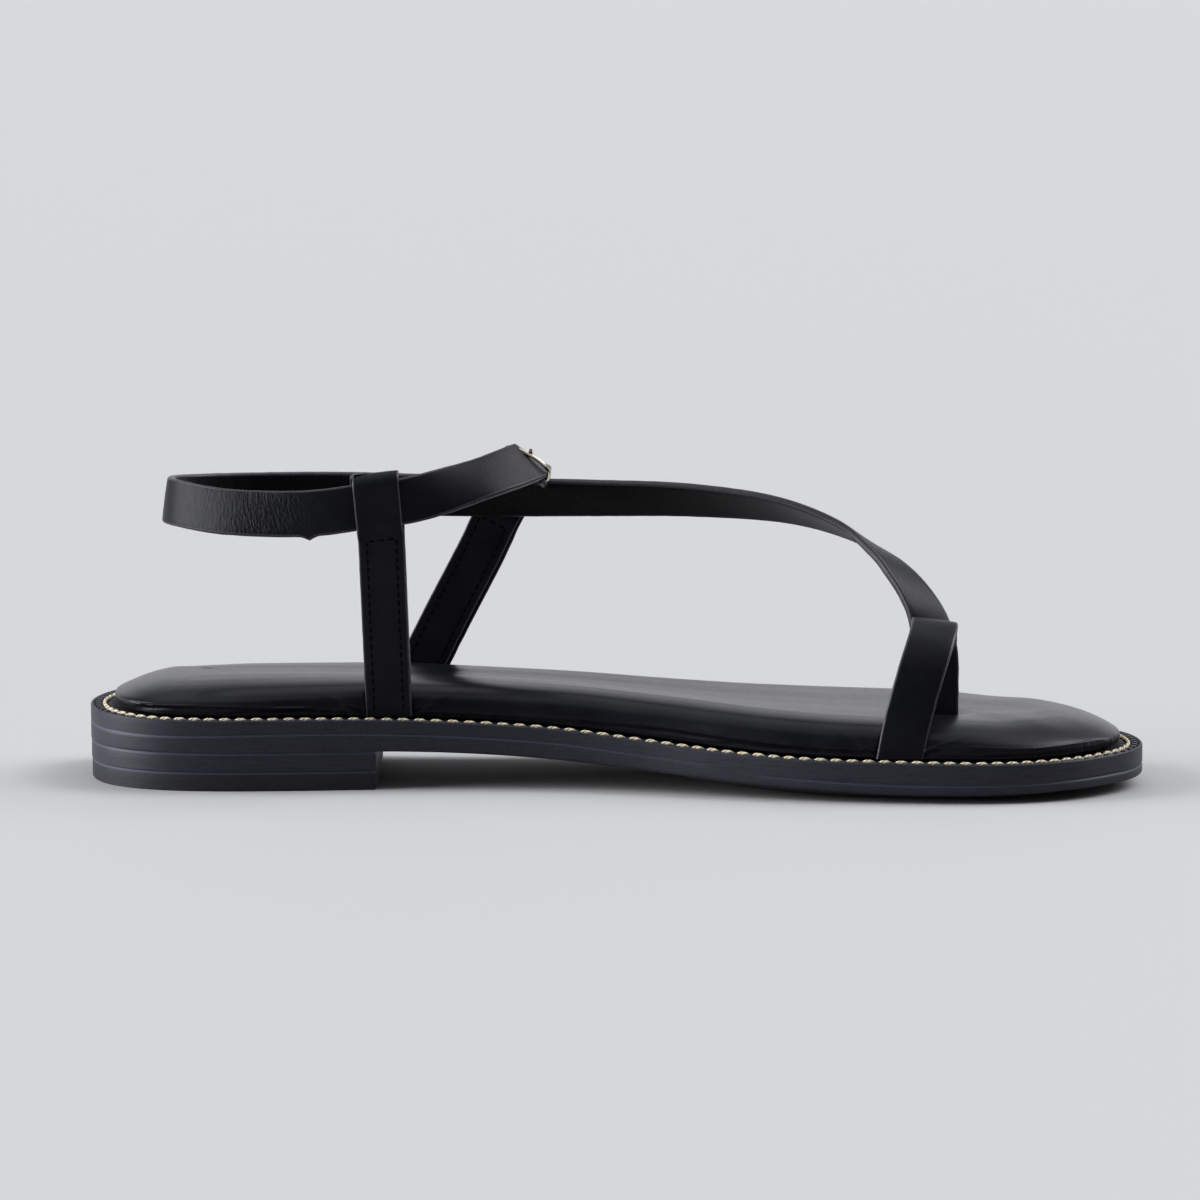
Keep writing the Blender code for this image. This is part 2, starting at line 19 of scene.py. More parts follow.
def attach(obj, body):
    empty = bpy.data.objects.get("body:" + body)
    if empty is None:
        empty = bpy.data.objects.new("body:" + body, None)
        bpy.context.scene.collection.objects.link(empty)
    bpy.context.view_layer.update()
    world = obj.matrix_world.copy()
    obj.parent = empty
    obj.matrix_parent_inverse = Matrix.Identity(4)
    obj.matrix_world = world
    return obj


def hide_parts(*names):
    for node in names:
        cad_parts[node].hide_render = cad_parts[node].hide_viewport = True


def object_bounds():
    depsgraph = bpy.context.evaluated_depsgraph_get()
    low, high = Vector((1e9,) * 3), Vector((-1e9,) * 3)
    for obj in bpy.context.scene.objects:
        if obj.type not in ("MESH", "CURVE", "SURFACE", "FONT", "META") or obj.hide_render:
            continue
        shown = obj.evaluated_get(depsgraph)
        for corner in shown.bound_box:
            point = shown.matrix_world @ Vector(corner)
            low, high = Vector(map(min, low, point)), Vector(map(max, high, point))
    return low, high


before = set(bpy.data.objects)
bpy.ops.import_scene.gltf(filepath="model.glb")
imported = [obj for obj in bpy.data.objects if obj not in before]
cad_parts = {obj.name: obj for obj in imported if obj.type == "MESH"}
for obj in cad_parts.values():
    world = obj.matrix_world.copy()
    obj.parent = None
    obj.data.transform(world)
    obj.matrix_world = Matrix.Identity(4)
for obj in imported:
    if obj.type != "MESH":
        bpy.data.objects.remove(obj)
CAD_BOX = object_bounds()

LOG = logging.getLogger("sandal")
MM = 0.001
BODY = "root"
MERGE = 0.002  # points closer than this are one point, in millimetres
TINY = 1e-9  # stands for a span without length
HEEL_BACK = Vector((CAD_BOX[0][0], 0.0, 0.0))  # in metres
FORWARDS = Vector((1.0, 0.0, 0.0))
UPWARDS = Vector((0.0, 0.0, 1.0))
EDGE_STEPS = 40  # steps of the sole's edge between two of its rows
SPAN_STEPS = 24  # steps of a strap's curve between two of its rows


class Slot(Enum):
    """The record's material slots."""

    TREAD = "tread"
    SOLE = "sole"
    FOOTBED = "footbed_leather"
    STRAP = "strap_leather"
    BUCKLE = "buckle_metal"


class Face(IntEnum):
    """The faces of a strap, in the order of its material slots."""

    GRAIN = 0
    EDGE = 1
    FLESH = 2


class Section(NamedTuple):
    """One row of the sole: its two edges and the heights of its layers."""

    x: float
    medial: float
    lateral: float
    rim: float  # top of the midsole
    edge: float  # lower edge of the outsole's side
    tread: float  # underside at the middle
    pad: float  # rise of the footbed above the rim

    def towards(self, other: "Section", share: float) -> "Section":
        """Return the row that lies a share of the way from this one to another."""
        return Section(*(a + (b - a) * share for a, b in zip(self, other)))


class Fold(NamedTuple):
    """One row of a strap: its middle, and the way across it towards its front or lower edge."""

    x: float
    y: float
    z: float
    across_x: float
    across_y: float
    across_z: float


SECTIONS = (
    Section(0.0, 4.0, 4.0, 17.5, 9.2, 9.2, 8.2),
    Section(2.5, -12.2, 21.0, 17.5, 9.2, 9.2, 8.2),
    Section(8.5, -23.8, 29.2, 17.3, 9.2, 9.2, 8.3),
    Section(19.0, -31.2, 33.0, 17.0, 9.2, 9.2, 8.5),
    Section(34.0, -33.6, 34.0, 16.9, 9.2, 9.2, 8.6),
    Section(55.0, -31.6, 34.0, 16.9, 9.2, 9.2, 8.6),
    Section(75.0, -28.1, 34.0, 16.6, 9.1, 9.1, 8.6),
    Section(95.0, -25.6, 34.6, 15.7, 8.4, 8.1, 8.6),
    Section(115.0, -25.6, 36.4, 14.4, 7.1, 6.4, 8.7),
    Section(135.0, -29.4, 39.4, 12.3, 5.3, 4.0, 9.0),
    Section(155.0, -36.6, 42.8, 10.6, 3.7, 1.4, 9.1),
    Section(175.0, -42.6, 45.5, 9.7, 2.7, 0.0, 9.0),
    Section(195.0, -45.4, 45.7, 9.5, 2.0, 0.0, 8.7),
    Section(212.0, -45.8, 43.0, 9.3, 1.9, 0.0, 8.8),
    Section(226.0, -43.6, 38.4, 9.3, 2.1, 0.2, 8.5),
    Section(238.0, -37.6, 31.6, 9.5, 2.5, 1.0, 8.6),
    Section(247.0, -28.4, 22.6, 9.7, 2.7, 1.8, 8.3),
    Section(252.8, -18.6, 9.6, 9.9, 2.8, 2.3, 7.9),
    Section(255.0, -6.0, -6.0, 10.0, 2.8, 2.6, 7.7),
)

LONG_STRAP = (
    Fold(205.3, -14.5, 9.9, 1.0, 0.0, 0.0),
    Fold(205.3, -14.5, 20.0, 1.0, 0.05, 0.0),
    Fold(205.2, -13.8, 32.0, 1.0, 0.25, 0.0),
    Fold(203.5, -11.5, 39.8, 0.8, 0.55, -0.04),
    Fold(200.7, -8.9, 45.2, 0.7, 0.7, -0.06),
    Fold(196.7, -5.5, 50.2, 0.58, 0.8, -0.08),
    Fold(192.0, -1.8, 54.4, 0.41, 0.9, -0.16),
    Fold(182.6, 4.5, 59.9, 0.16, 0.93, -0.35),
    Fold(167.0, 12.0, 64.0, 0.2, 0.8, -0.56),
    Fold(145.0, 19.5, 65.5, 0.1, 0.68, -0.72),
    Fold(122.0, 24.9, 65.4, 0.0, 0.6, -0.8),
    Fold(100.0, 27.5, 65.3, 0.0, 0.5, -0.87),
    Fold(78.0, 28.0, 65.7, 0.0, 0.35, -0.94),
    Fold(56.0, 26.4, 66.1, 0.0, 0.25, -0.97),
    Fold(37.0, 21.6, 66.2, 0.0, 0.25, -0.97),
    Fold(24.0, 12.0, 66.5, -0.08, 0.2, -0.98),
    Fold(19.6, 0.0, 66.9, -0.13, 0.0, -0.99),
    Fold(24.0, -12.0, 66.7, -0.08, -0.25, -0.96),
    Fold(37.0, -22.2, 65.7, 0.0, -0.3, -0.95),
    Fold(56.0, -26.4, 65.8, 0.0, -0.15, -0.98),
    Fold(72.3, -26.3, 68.0, 0.13, -0.05, -0.99),
    Fold(82.0, -24.8, 69.4, 0.22, -0.1, -0.97),
    Fold(96.4, -16.0, 73.3, 0.4, -0.52, -0.75),
    Fold(105.9, -4.7, 76.2, 0.66, -0.18, -0.73),
    Fold(106.9, 2.0, 76.4, 0.76, -0.05, -0.64),
    Fold(107.0, 8.0, 76.1, 0.82, 0.05, -0.56),
    Fold(105.7, 18.7, 74.8, 0.92, 0.16, -0.36),
    Fold(103.4, 27.4, 72.6, 0.91, 0.29, -0.27),
    Fold(100.4, 32.5, 67.2, 0.86, 0.28, -0.5),
    Fold(97.0, 36.2, 60.6, 0.9, 0.1, -0.42),
    Fold(93.0, 35.6, 50.7, 0.92, 0.0, -0.4),
)
PRONG_HOLE_ROW = 24

TOE_STRAP = (
    Fold(197.0, -39.8, 9.9, 1.0, 0.0, -0.05),
    Fold(198.6, -39.2, 18.0, 1.0, 0.0, -0.15),
    Fold(201.3, -36.4, 28.0, 1.0, 0.0, -0.2),
    Fold(203.7, -31.4, 35.4, 1.0, 0.0, -0.18),
    Fold(204.9, -25.0, 38.9, 1.0, 0.0, -0.15),
    Fold(205.0, -19.6, 39.8, 1.0, 0.0, -0.12),
    Fold(204.9, -16.2, 37.4, 1.0, 0.1, -0.05),
    Fold(204.9, -15.9, 35.2, 1.0, 0.15, 0.0),
    Fold(204.9, -16.1, 33.2, 1.0, 0.2, 0.0),
)

LATERAL_POST = (
    Fold(75.6, 28.2, 17.0, 0.92, 0.0, -0.38),
    Fold(84.0, 30.0, 34.0, 0.92, 0.0, -0.4),
    Fold(92.8, 32.2, 51.0, 0.92, 0.0, -0.4),
    Fold(97.0, 33.1, 60.0, 0.9, 0.09, -0.42),
    Fold(100.4, 29.7, 65.6, 0.86, 0.28, -0.5),
    Fold(103.1, 26.0, 69.8, 0.91, 0.29, -0.25),
    Fold(105.2, 18.4, 71.6, 0.93, 0.16, -0.31),
    Fold(105.9, 10.6, 73.0, 0.87, -0.05, -0.5),
)

NEAR_BAR = Vector((107.1, -2.4, 78.2))
FAR_BAR = Vector((105.7, 7.4, 73.6))
FRAME_ALONG = (FAR_BAR - NEAR_BAR).normalized()
BAR_DIRECTION = -Vector((0.87, -0.05, -0.5)).cross(FRAME_ALONG).cross(FRAME_ALONG).normalized()
FRAME_UP = BAR_DIRECTION.cross(FRAME_ALONG)


# Shared geometry


def smooth(t: float) -> float:
    """Ease from 0 to 1."""
    t = min(1.0, max(0.0, t))
    return t * t * (3 - 2 * t)


def ramp(value: float, start: float, end: float) -> float:
    """Ease from 0 at the start to 1 at the end."""
    return smooth((value - start) / (end - start))


def bump(distance: float, width: float) -> float:
    """Return a soft bell of height 1 that is about as wide as given."""
    return math.exp(-((distance / width) ** 2))


def curve(rows: Sequence[tuple], per_span: int, before: tuple | None = None,
          after: tuple | None = None) -> list[tuple]:
    """Run a Catmull-Rom curve through rows, each column in the same way.

    Args:
        rows: The rows to pass through.
        per_span: Steps between two rows.
        before: A row beyond the first. Without it the curve begins straight.
        after: A row beyond the last. Without it the curve ends straight.

    Returns:
        The rows of the curve, ends included.
    """
    first, last = rows[0], rows[-1]
    before = before or tuple(2 * a - b for a, b in zip(first, rows[1]))
    after = after or tuple(2 * a - b for a, b in zip(last, rows[-2]))
    padded = [before, *rows, after]
    points = []
    for i in range(1, len(padded) - 2):
        for step in range(per_span):
            t = step / per_span
            points.append(tuple(
                b + 0.5 * t * (c - a + t * (2 * a - 5 * b + 4 * c - d + t * (3 * b - a - 3 * c + d)))
                for a, b, c, d in zip(padded[i - 1], padded[i], padded[i + 1], padded[i + 2])
            ))
    points.append(tuple(last))
    return points


def running_length(points: Sequence[Vector]) -> list[float]:
    """Measure a line.

    Args:
        points: The line's points in order.

    Returns:
        The length from the first point to each of them.
    """
    reach = [0.0]
    for a, b in zip(points, points[1:]):
        reach.append(reach[-1] + (b - a).length)
    return reach


def locate(stops: Sequence[float], target: float) -> tuple[int, float]:
    """Find the span between two rising stops that a value lies in.

    Args:
        stops: The stops in order.
        target: The value.

    Returns:
        The number of the span, and the share of it that lies before the value.
    """
    i = min(max(bisect_right(stops, target) - 1, 0), len(stops) - 2)
    return i, (target - stops[i]) / max(stops[i + 1] - stops[i], TINY)


class Spot(NamedTuple):
    """Where a grid's point goes, and its place on the unrolled surface in millimetres."""

    place: Vector
    u: float
    v: float
    # The mark wrinkles leather, and on the sole's rubber it paints a highlight along the lines between
    # layers.
    mark: float = 0.0  # how much of a finish's special look the point has


def wrap_grid(columns: int, rows: int, spot: Callable[[int, int], Spot],
              paint: Callable[[int, int], int] | None = None, caps: bool = True) -> bmesh.types.BMesh:
    """Bend a flat grid into a shape, weld the edges that meet and close what stays open.

    Args:
        columns: Faces along the grid's first way.
        rows: Faces along its second way.
        spot: Gives each point's place from its column and row.
        paint: Gives a face's material index from its column and row.
        caps: Whether the two open ends are filled.

    Returns:
        The closed mesh, in millimetres.
    """
    mesh = bmesh.new()
    bmesh.ops.create_grid(mesh, x_segments=columns, y_segments=rows, size=0.5)
    unrolled = mesh.loops.layers.uv.new("unrolled")
    marks = mesh.verts.layers.float.new("mark")
    cells = {
        vert: (round((vert.co.x + 0.5) * columns), round((vert.co.y + 0.5) * rows)) for vert in mesh.verts
    }
    spots = {vert: spot(*cell) for vert, cell in cells.items()}
    for face in mesh.faces:
        for loop in face.loops:
            loop[unrolled].uv = (spots[loop.vert].u, spots[loop.vert].v)
        if paint:
            corner = [cells[vert] for vert in face.verts]
            face.material_index = paint(min(c for c, _ in corner), min(r for _, r in corner))
    for vert, made in spots.items():
        vert.co = made.place
        vert[marks] = made.mark
    bmesh.ops.remove_doubles(mesh, verts=mesh.verts, dist=MERGE)
    if caps:
        bmesh.ops.holes_fill(mesh, edges=[edge for edge in mesh.edges if edge.is_boundary])
    bmesh.ops.recalc_face_normals(mesh, faces=mesh.faces)
    return mesh


def tube(path: Sequence[Vector], radius: Callable[[float], float], up: Vector, flatness: float,
         closed: bool) -> bmesh.types.BMesh:
    """Make a drawn wire along a path.

    Args:
        path: The wire's middle line.
        radius: Gives the wire's half width from the part of its length that is done.
        up: The way in which the wire is flattened.
        flatness: Its height as a part of its width.
        closed: Whether the wire's end joins its start.

    Returns:
        The wire's mesh, in millimetres.
    """
    sides = 16
    count = len(path)
    spans = count if closed else count - 1

    def spot(column: int, row: int) -> Spot:
        """Place one point of the wire's skin.

        Args:
            column: Its number round the wire.
            row: Its number along the wire.

        Returns:
            The point.
        """
        i = row % count
        ahead = path[(i + 1) % count] if closed else path[min(i + 1, count - 1)]
        behind = path[i - 1] if closed else path[max(i - 1, 0)]
        along = (ahead - behind).normalized()
        side = along.cross(up).normalized()
        turn = 2 * math.pi * column / sides
        size = radius(row / spans)
        lift = side.cross(along)
        place = path[i] + (side * math.cos(turn) + lift * math.sin(turn) * flatness) * size
        return Spot(place, turn * size, float(row))

    return wrap_grid(sides, spans, spot, caps=not closed)


def mesh_data(name: str, mesh: bmesh.types.BMesh) -> bpy.types.Mesh:
    """Write a mesh to mesh data.

    Args:
        name: The data's name.
        mesh: The mesh, which is used up.

    Returns:
        The new data.
    """
    data = bpy.data.meshes.new(name)
    mesh.to_mesh(data)
    mesh.free()
    return data


def scene_object(name: str, data: bpy.types.ID) -> bpy.types.Object:
    """Put an object into the scene.

    Args:
        name: The object's name.
        data: Its mesh or camera.

    Returns:
        The new object.
    """
    made = bpy.data.objects.new(name, data)
    bpy.context.scene.collection.objects.link(made)
    return made


def add_piece(name: str, mesh: bmesh.types.BMesh, finishes: Sequence[bpy.types.Material], slot: Slot,
              nodes: Sequence[str] = (), sharp: float = 50.0) -> bpy.types.Object:
    """Make a piece that rides on the sandal.

    Args:
        name: The piece's name.
        mesh: Its mesh in millimetres, which is used up.
        finishes: Its materials.
        slot: The record's slot for the piece's finish. Not used.
        nodes: The solids that it stands for.
        sharp: Edges that turn more than this many degrees stay crisp.

    Returns:
        The new object.
    """
    bmesh.ops.scale(mesh, verts=mesh.verts, vec=(MM, MM, MM))
    bmesh.ops.translate(mesh, verts=mesh.verts, vec=HEEL_BACK)
    data = mesh_data(name, mesh)
    data.shade_smooth()
    data.set_sharp_from_angle(angle=math.radians(sharp))
    for finish in finishes:
        data.materials.append(finish)
    made = scene_object(name, data)
    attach(made, BODY)
    if nodes:
        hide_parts(*nodes)
    LOG.info("%s: %d faces", name, len(data.polygons))
    return made


def cut_holes(mesh: bmesh.types.BMesh, tools: Sequence[bmesh.types.BMesh]) -> bmesh.types.BMesh:
    """Cut holes into a mesh.

    Args:
        mesh: The mesh to cut, which is used up.
        tools: The shapes of the holes, which are used up.

    Returns:
        The cut mesh.
    """
    shape = scene_object("shape", mesh_data("shape", mesh))
    cutters = [scene_object("cutter", mesh_data("cutter", tool)) for tool in tools]
    for cutter in cutters:
        modifier = shape.modifiers.new("hole", "BOOLEAN")
        modifier.operation = "DIFFERENCE"
        modifier.solver = "EXACT"
        modifier.object = cutter
    depsgraph = bpy.context.evaluated_depsgraph_get()
    done = bmesh.new()
    result = shape.evaluated_get(depsgraph)
    done.from_mesh(result.to_mesh())
    result.to_mesh_clear()
    for scrap in (shape, *cutters):
        bpy.data.objects.remove(scrap, do_unlink=True)
    return done


def slot_tool(centre: Vector, size: Vector, across: Vector, up: Vector) -> bmesh.types.BMesh:
    """Make a block for cutting a slot.

    Args:
        centre: The block's middle.
        size: Its lengths across, along and up.
        across: The way of its first length.
        up: The way of its last length, as near as it can be.

    Returns:
        The block's mesh, in millimetres.
    """
    mesh = bmesh.new()
    across = across.normalized()
    up = (up - across * up.dot(across)).normalized()
    turn = Matrix((across, up.cross(across), up)).transposed().to_4x4()
    place = Matrix.Translation(centre) @ turn @ Matrix.Diagonal((*size, 1.0))
    bmesh.ops.create_cube(mesh, size=1.0, matrix=place)
    return mesh


def punch_tool(centre: Vector, radius: float, along: Vector) -> bmesh.types.BMesh:
    """Make a round punch for one hole.

    Args:
        centre: The hole's middle.
        radius: Its radius.
        along: The way through the leather.

    Returns:
        The punch's mesh, in millimetres.
    """
    mesh = bmesh.new()
    turn = along.to_track_quat("Z", "Y").to_matrix().to_4x4()
    bmesh.ops.create_cone(mesh, cap_ends=True, segments=24, radius1=radius, radius2=radius, depth=8.0,
                          matrix=Matrix.Translation(centre) @ turn)
    return mesh


# Materials


def linear(colour: str) -> tuple[float, float, float, float]:
    """Turn an sRGB hex colour into a linear one.

    Args:
        colour: The colour, such as "#1A1A1C".

    Returns:
        Red, green, blue and alpha.
    """
    parts = [int(colour[i:i + 2], 16) / 255 for i in (1, 3, 5)]
    red, green, blue = (c / 12.92 if c <= 0.04045 else ((c + 0.055) / 1.055) ** 2.4 for c in parts)
    return red, green, blue, 1.0


def per_metre(size_mm: float) -> float:
    """Return a texture scale that gives details of this size on coordinates in metres."""
    return 1.0 / (size_mm * MM)


def feed(tree: bpy.types.NodeTree, node: bpy.types.Node, inputs: dict[str | int, object]) -> None:
    """Set a node's sockets, each to a value or by a link.

    Args:
        tree: The node's tree.
        node: The node.
        inputs: Values of its sockets, or the sockets that are linked to them, by name or number.
    """
    for key, value in inputs.items():
        if isinstance(value, bpy.types.NodeSocket):
            tree.links.new(value, node.inputs[key])
        else:
            node.inputs[key].default_value = value


def add_node(tree: bpy.types.NodeTree, kind: str, settings: dict[str, object] | None = None,
             inputs: dict[str | int, object] | None = None,
             stops: Sequence[tuple[float, str]] = ()) -> bpy.types.Node:
    """Add one node with its settings, values and links.

    Args:
        tree: The material's node tree.
        kind: The node's type.
        settings: Attributes of the node.
        inputs: What its sockets are fed.
        stops: The positions and hex colours of a ramp.

    Returns:
        The node.
    """
    node = tree.nodes.new(kind)
    for _ in stops[2:]:
        node.color_ramp.elements.new(0.5)
    for i, (position, colour) in enumerate(stops):
        node.color_ramp.elements[i].position = position
        node.color_ramp.elements[i].color = linear(colour)
    for name, value in (settings or {}).items():
        setattr(node, name, value)
    feed(tree, node, inputs or {})
    return node


def new_material(name: str) -> tuple[bpy.types.Material, bpy.types.NodeTree, bpy.types.Node]:
    """Start a material.

    Args:
        name: The material's name.

    Returns:
        The material, its tree and its Principled shader.
    """
    material = bpy.data.materials.new(name)
    material.use_nodes = True
    tree = material.node_tree
    return material, tree, tree.nodes["Principled BSDF"]


@dataclass(frozen=True)
class GrainLeather:
    """Smooth chrome-tanned calf, dyed black and waxed.

    It is near black with a soft gloss, a fine pebble, and short wrinkles where the mesh is marked as bent.
    """

    name: str
    dark: str = "#08090D"
    light: str = "#131419"
    pebble_mm: float = 0.55
    pebble_height_mm: float = 0.012
    wrinkle_mm: tuple[float, float] = (2.2, 0.65)  # length and spacing
    wrinkle_turn: float = 16.0
    wrinkle_height_mm: float = 0.5
    cloud_mm: float = 14.0
    roughness: float = 0.4
    roughness_spread: float = 0.08
    wax_index: float = 1.22  # the open pores and the dull wax mirror less than a solid film would

    def material(self) -> bpy.types.Material:
        """Make the finish's nodes.

        Returns:
            The material.
        """
        material, tree, shader = new_material(self.name)
        place = add_node(tree, "ShaderNodeTexCoord").outputs["Object"]
        cloud = add_node(tree, "ShaderNodeTexNoise", inputs={
            "Vector": place, "Scale": per_metre(self.cloud_mm), "Detail": 4.0, "Roughness": 0.6})
        tone = add_node(tree, "ShaderNodeValToRGB", inputs={"Fac": cloud.outputs["Fac"]},
                        stops=((0.3, self.dark), (0.7, self.light)))
        pebble = add_node(tree, "ShaderNodeTexVoronoi", {"feature": "SMOOTH_F1"}, {
            "Vector": place, "Scale": per_metre(self.pebble_mm), "Smoothness": 0.6, "Randomness": 1.0})
        fine = add_node(tree, "ShaderNodeTexNoise", inputs={
            "Vector": place, "Scale": per_metre(self.pebble_mm * 2.5), "Detail": 4.0, "Roughness": 0.55})
        height = add_node(tree, "ShaderNodeMath", {"operation": "MULTIPLY_ADD"}, {
            0: fine.outputs["Fac"], 1: 1.2, 2: pebble.outputs["Distance"]})
        grain = add_node(tree, "ShaderNodeBump", inputs={
            "Strength": 0.6, "Distance": self.pebble_height_mm * MM, "Height": height.outputs[0]})
        unrolled = add_node(tree, "ShaderNodeUVMap", {"uv_map": "unrolled"}).outputs["UV"]
        turned = add_node(tree, "ShaderNodeMapping", {"vector_type": "TEXTURE"}, {
            "Vector": unrolled, "Rotation": (0.0, 0.0, math.radians(self.wrinkle_turn)),
            "Scale": (self.wrinkle_mm[0], self.wrinkle_mm[1], 1.0)})
        wrinkles = add_node(tree, "ShaderNodeTexNoise", inputs={
            "Vector": turned.outputs["Vector"], "Scale": 1.0, "Detail": 3.0, "Roughness": 0.55,
            "Distortion": 0.6})
        bent = add_node(tree, "ShaderNodeAttribute", {"attribute_name": "mark"})
        creased = add_node(tree, "ShaderNodeMath", {"operation": "MULTIPLY"}, {
            0: wrinkles.outputs["Fac"], 1: bent.outputs["Fac"]})
        surface = add_node(tree, "ShaderNodeBump", inputs={
            "Strength": 0.8, "Distance": self.wrinkle_height_mm * MM, "Height": creased.outputs[0],
            "Normal": grain.outputs["Normal"]})
        gloss = add_node(tree, "ShaderNodeMapRange", inputs={
            "Value": fine.outputs["Fac"], "From Min": 0.3, "From Max": 0.7,
            "To Min": self.roughness - self.roughness_spread / 2,
            "To Max": self.roughness + self.roughness_spread / 2})
        feed(tree, shader, {
            "Base Color": tone.outputs["Color"], "Roughness": gloss.outputs["Result"],
            "Normal": surface.outputs["Normal"], "IOR": self.wax_index})
        return material


@dataclass(frozen=True)
class CutEdge:
    """The cut side of a strap, inked and burnished: greyer than the grain, partly for its ink and partly as a
    painted highlight where the rounded edge catches the light.
    """

    name: str
    # The edge greys are partly the ink and partly a painted highlight along the rounded edge.
    dark: str = "#19191D"
    light: str = "#303035"
    fibre_mm: float = 0.5
    fibre_height_mm: float = 0.03
    roughness: float = 0.4
    ink_index: float = 1.35

    def material(self) -> bpy.types.Material:
        """Make the finish's nodes.

        Returns:
            The material.
        """
        material, tree, shader = new_material(self.name)
        place = add_node(tree, "ShaderNodeTexCoord").outputs["Object"]
        fibre = add_node(tree, "ShaderNodeTexNoise", inputs={
            "Vector": place, "Scale": per_metre(self.fibre_mm), "Detail": 3.0})
        tone = add_node(tree, "ShaderNodeValToRGB", inputs={"Fac": fibre.outputs["Fac"]},
                        stops=((0.35, self.dark), (0.7, self.light)))
        surface = add_node(tree, "ShaderNodeBump", inputs={
            "Strength": 0.5, "Distance": self.fibre_height_mm * MM, "Height": fibre.outputs["Fac"]})
        feed(tree, shader, {
            "Base Color": tone.outputs["Color"], "Normal": surface.outputs["Normal"],
            "Roughness": self.roughness, "IOR": self.ink_index})
        return material


@dataclass(frozen=True)
class FleshSide:
    """The back of a strap, a fine napped split: matt, almost black, with fibres that catch low light."""

    name: str
    dark: str = "#020203"
    light: str = "#1A1A1D"
    fibre_mm: float = 0.5
    nap_height_mm: float = 0.25
    roughness: float = 0.85
    nap_index: float = 1.1  # between the fibres almost nothing is mirrored
    sheen: float = 0.2
    sheen_roughness: float = 0.4

    def material(self) -> bpy.types.Material:
        """Make the finish's nodes.

        Returns:
            The material.
        """
        material, tree, shader = new_material(self.name)
        place = add_node(tree, "ShaderNodeTexCoord").outputs["Object"]
        nap = add_node(tree, "ShaderNodeTexNoise", inputs={
            "Vector": place, "Scale": per_metre(self.fibre_mm), "Detail": 6.0, "Roughness": 0.7})
        tone = add_node(tree, "ShaderNodeValToRGB", inputs={"Fac": nap.outputs["Fac"]},
                        stops=((0.35, self.dark), (0.75, self.light)))
        surface = add_node(tree, "ShaderNodeBump", inputs={
            "Strength": 1.0, "Distance": self.nap_height_mm * MM, "Height": nap.outputs["Fac"]})
        feed(tree, shader, {
            "Base Color": tone.outputs["Color"], "Normal": surface.outputs["Normal"],
            "Roughness": self.roughness, "IOR": self.nap_index,
            "Sheen Weight": self.sheen, "Sheen Roughness": self.sheen_roughness})
        return material


@dataclass(frozen=True)
class SoleRubber:
    """Filled rubber, ground to shape along the edge.

    It is charcoal and satin, with fine lines from the grinding wheel. Along the lines between two layers and
    in the forefoot's groove it is painted paler, a painted highlight where those edges catch the light.
    """

    name: str
    dark: str = "#131419"
    light: str = "#24252D"
    # Colour of the painted highlight along the lines between layers and in the groove.
    joint_with_painted_highlight: str = "#3A3E4C"
    line_mm: float = 0.3
    line_length_mm: float = 9.0
    speck_mm: float = 0.5
    line_height_mm: float = 0.06
    roughness: float = 0.5
    rubber_index: float = 1.3

    def material(self) -> bpy.types.Material:
        """Make the finish's nodes, whose lines follow the unrolled edge.

        Returns:
            The material.
        """
        material, tree, shader = new_material(self.name)
        unrolled = add_node(tree, "ShaderNodeUVMap", {"uv_map": "unrolled"}).outputs["UV"]
        stretch = add_node(tree, "ShaderNodeMapping", {"vector_type": "TEXTURE"}, {
            "Vector": unrolled, "Scale": (self.line_length_mm, self.line_mm, 1.0)})
        lines = add_node(tree, "ShaderNodeTexNoise", inputs={
            "Vector": stretch.outputs["Vector"], "Scale": 1.0, "Detail": 3.0, "Roughness": 0.6})
        place = add_node(tree, "ShaderNodeTexCoord").outputs["Object"]
        speck = add_node(tree, "ShaderNodeTexNoise", inputs={
            "Vector": place, "Scale": per_metre(self.speck_mm), "Detail": 4.0, "Roughness": 0.7})
        both = add_node(tree, "ShaderNodeMath", {"operation": "ADD"}, {
            0: speck.outputs["Fac"], 1: lines.outputs["Fac"]})
        tone = add_node(tree, "ShaderNodeValToRGB", inputs={"Fac": both.outputs[0]},
                        stops=((0.75, self.dark), (1.0, self.light)))
        # The mark sets where the painted highlight goes: the lines between layers and the groove.
        pale = add_node(tree, "ShaderNodeAttribute", {"attribute_name": "mark"})
        # Of a colour mix, socket 0 is the factor, 6 and 7 are the colours, and output 2 is the result.
        colour = add_node(tree, "ShaderNodeMix", {"data_type": "RGBA"}, {
            0: pale.outputs["Fac"], 6: tone.outputs["Color"], 7: linear(self.joint_with_painted_highlight)})
        surface = add_node(tree, "ShaderNodeBump", inputs={
            "Strength": 0.6, "Distance": self.line_height_mm * MM, "Height": both.outputs[0]})
        feed(tree, shader, {
            "Base Color": colour.outputs[2], "Normal": surface.outputs["Normal"],
            "Roughness": self.roughness, "IOR": self.rubber_index})
        return material


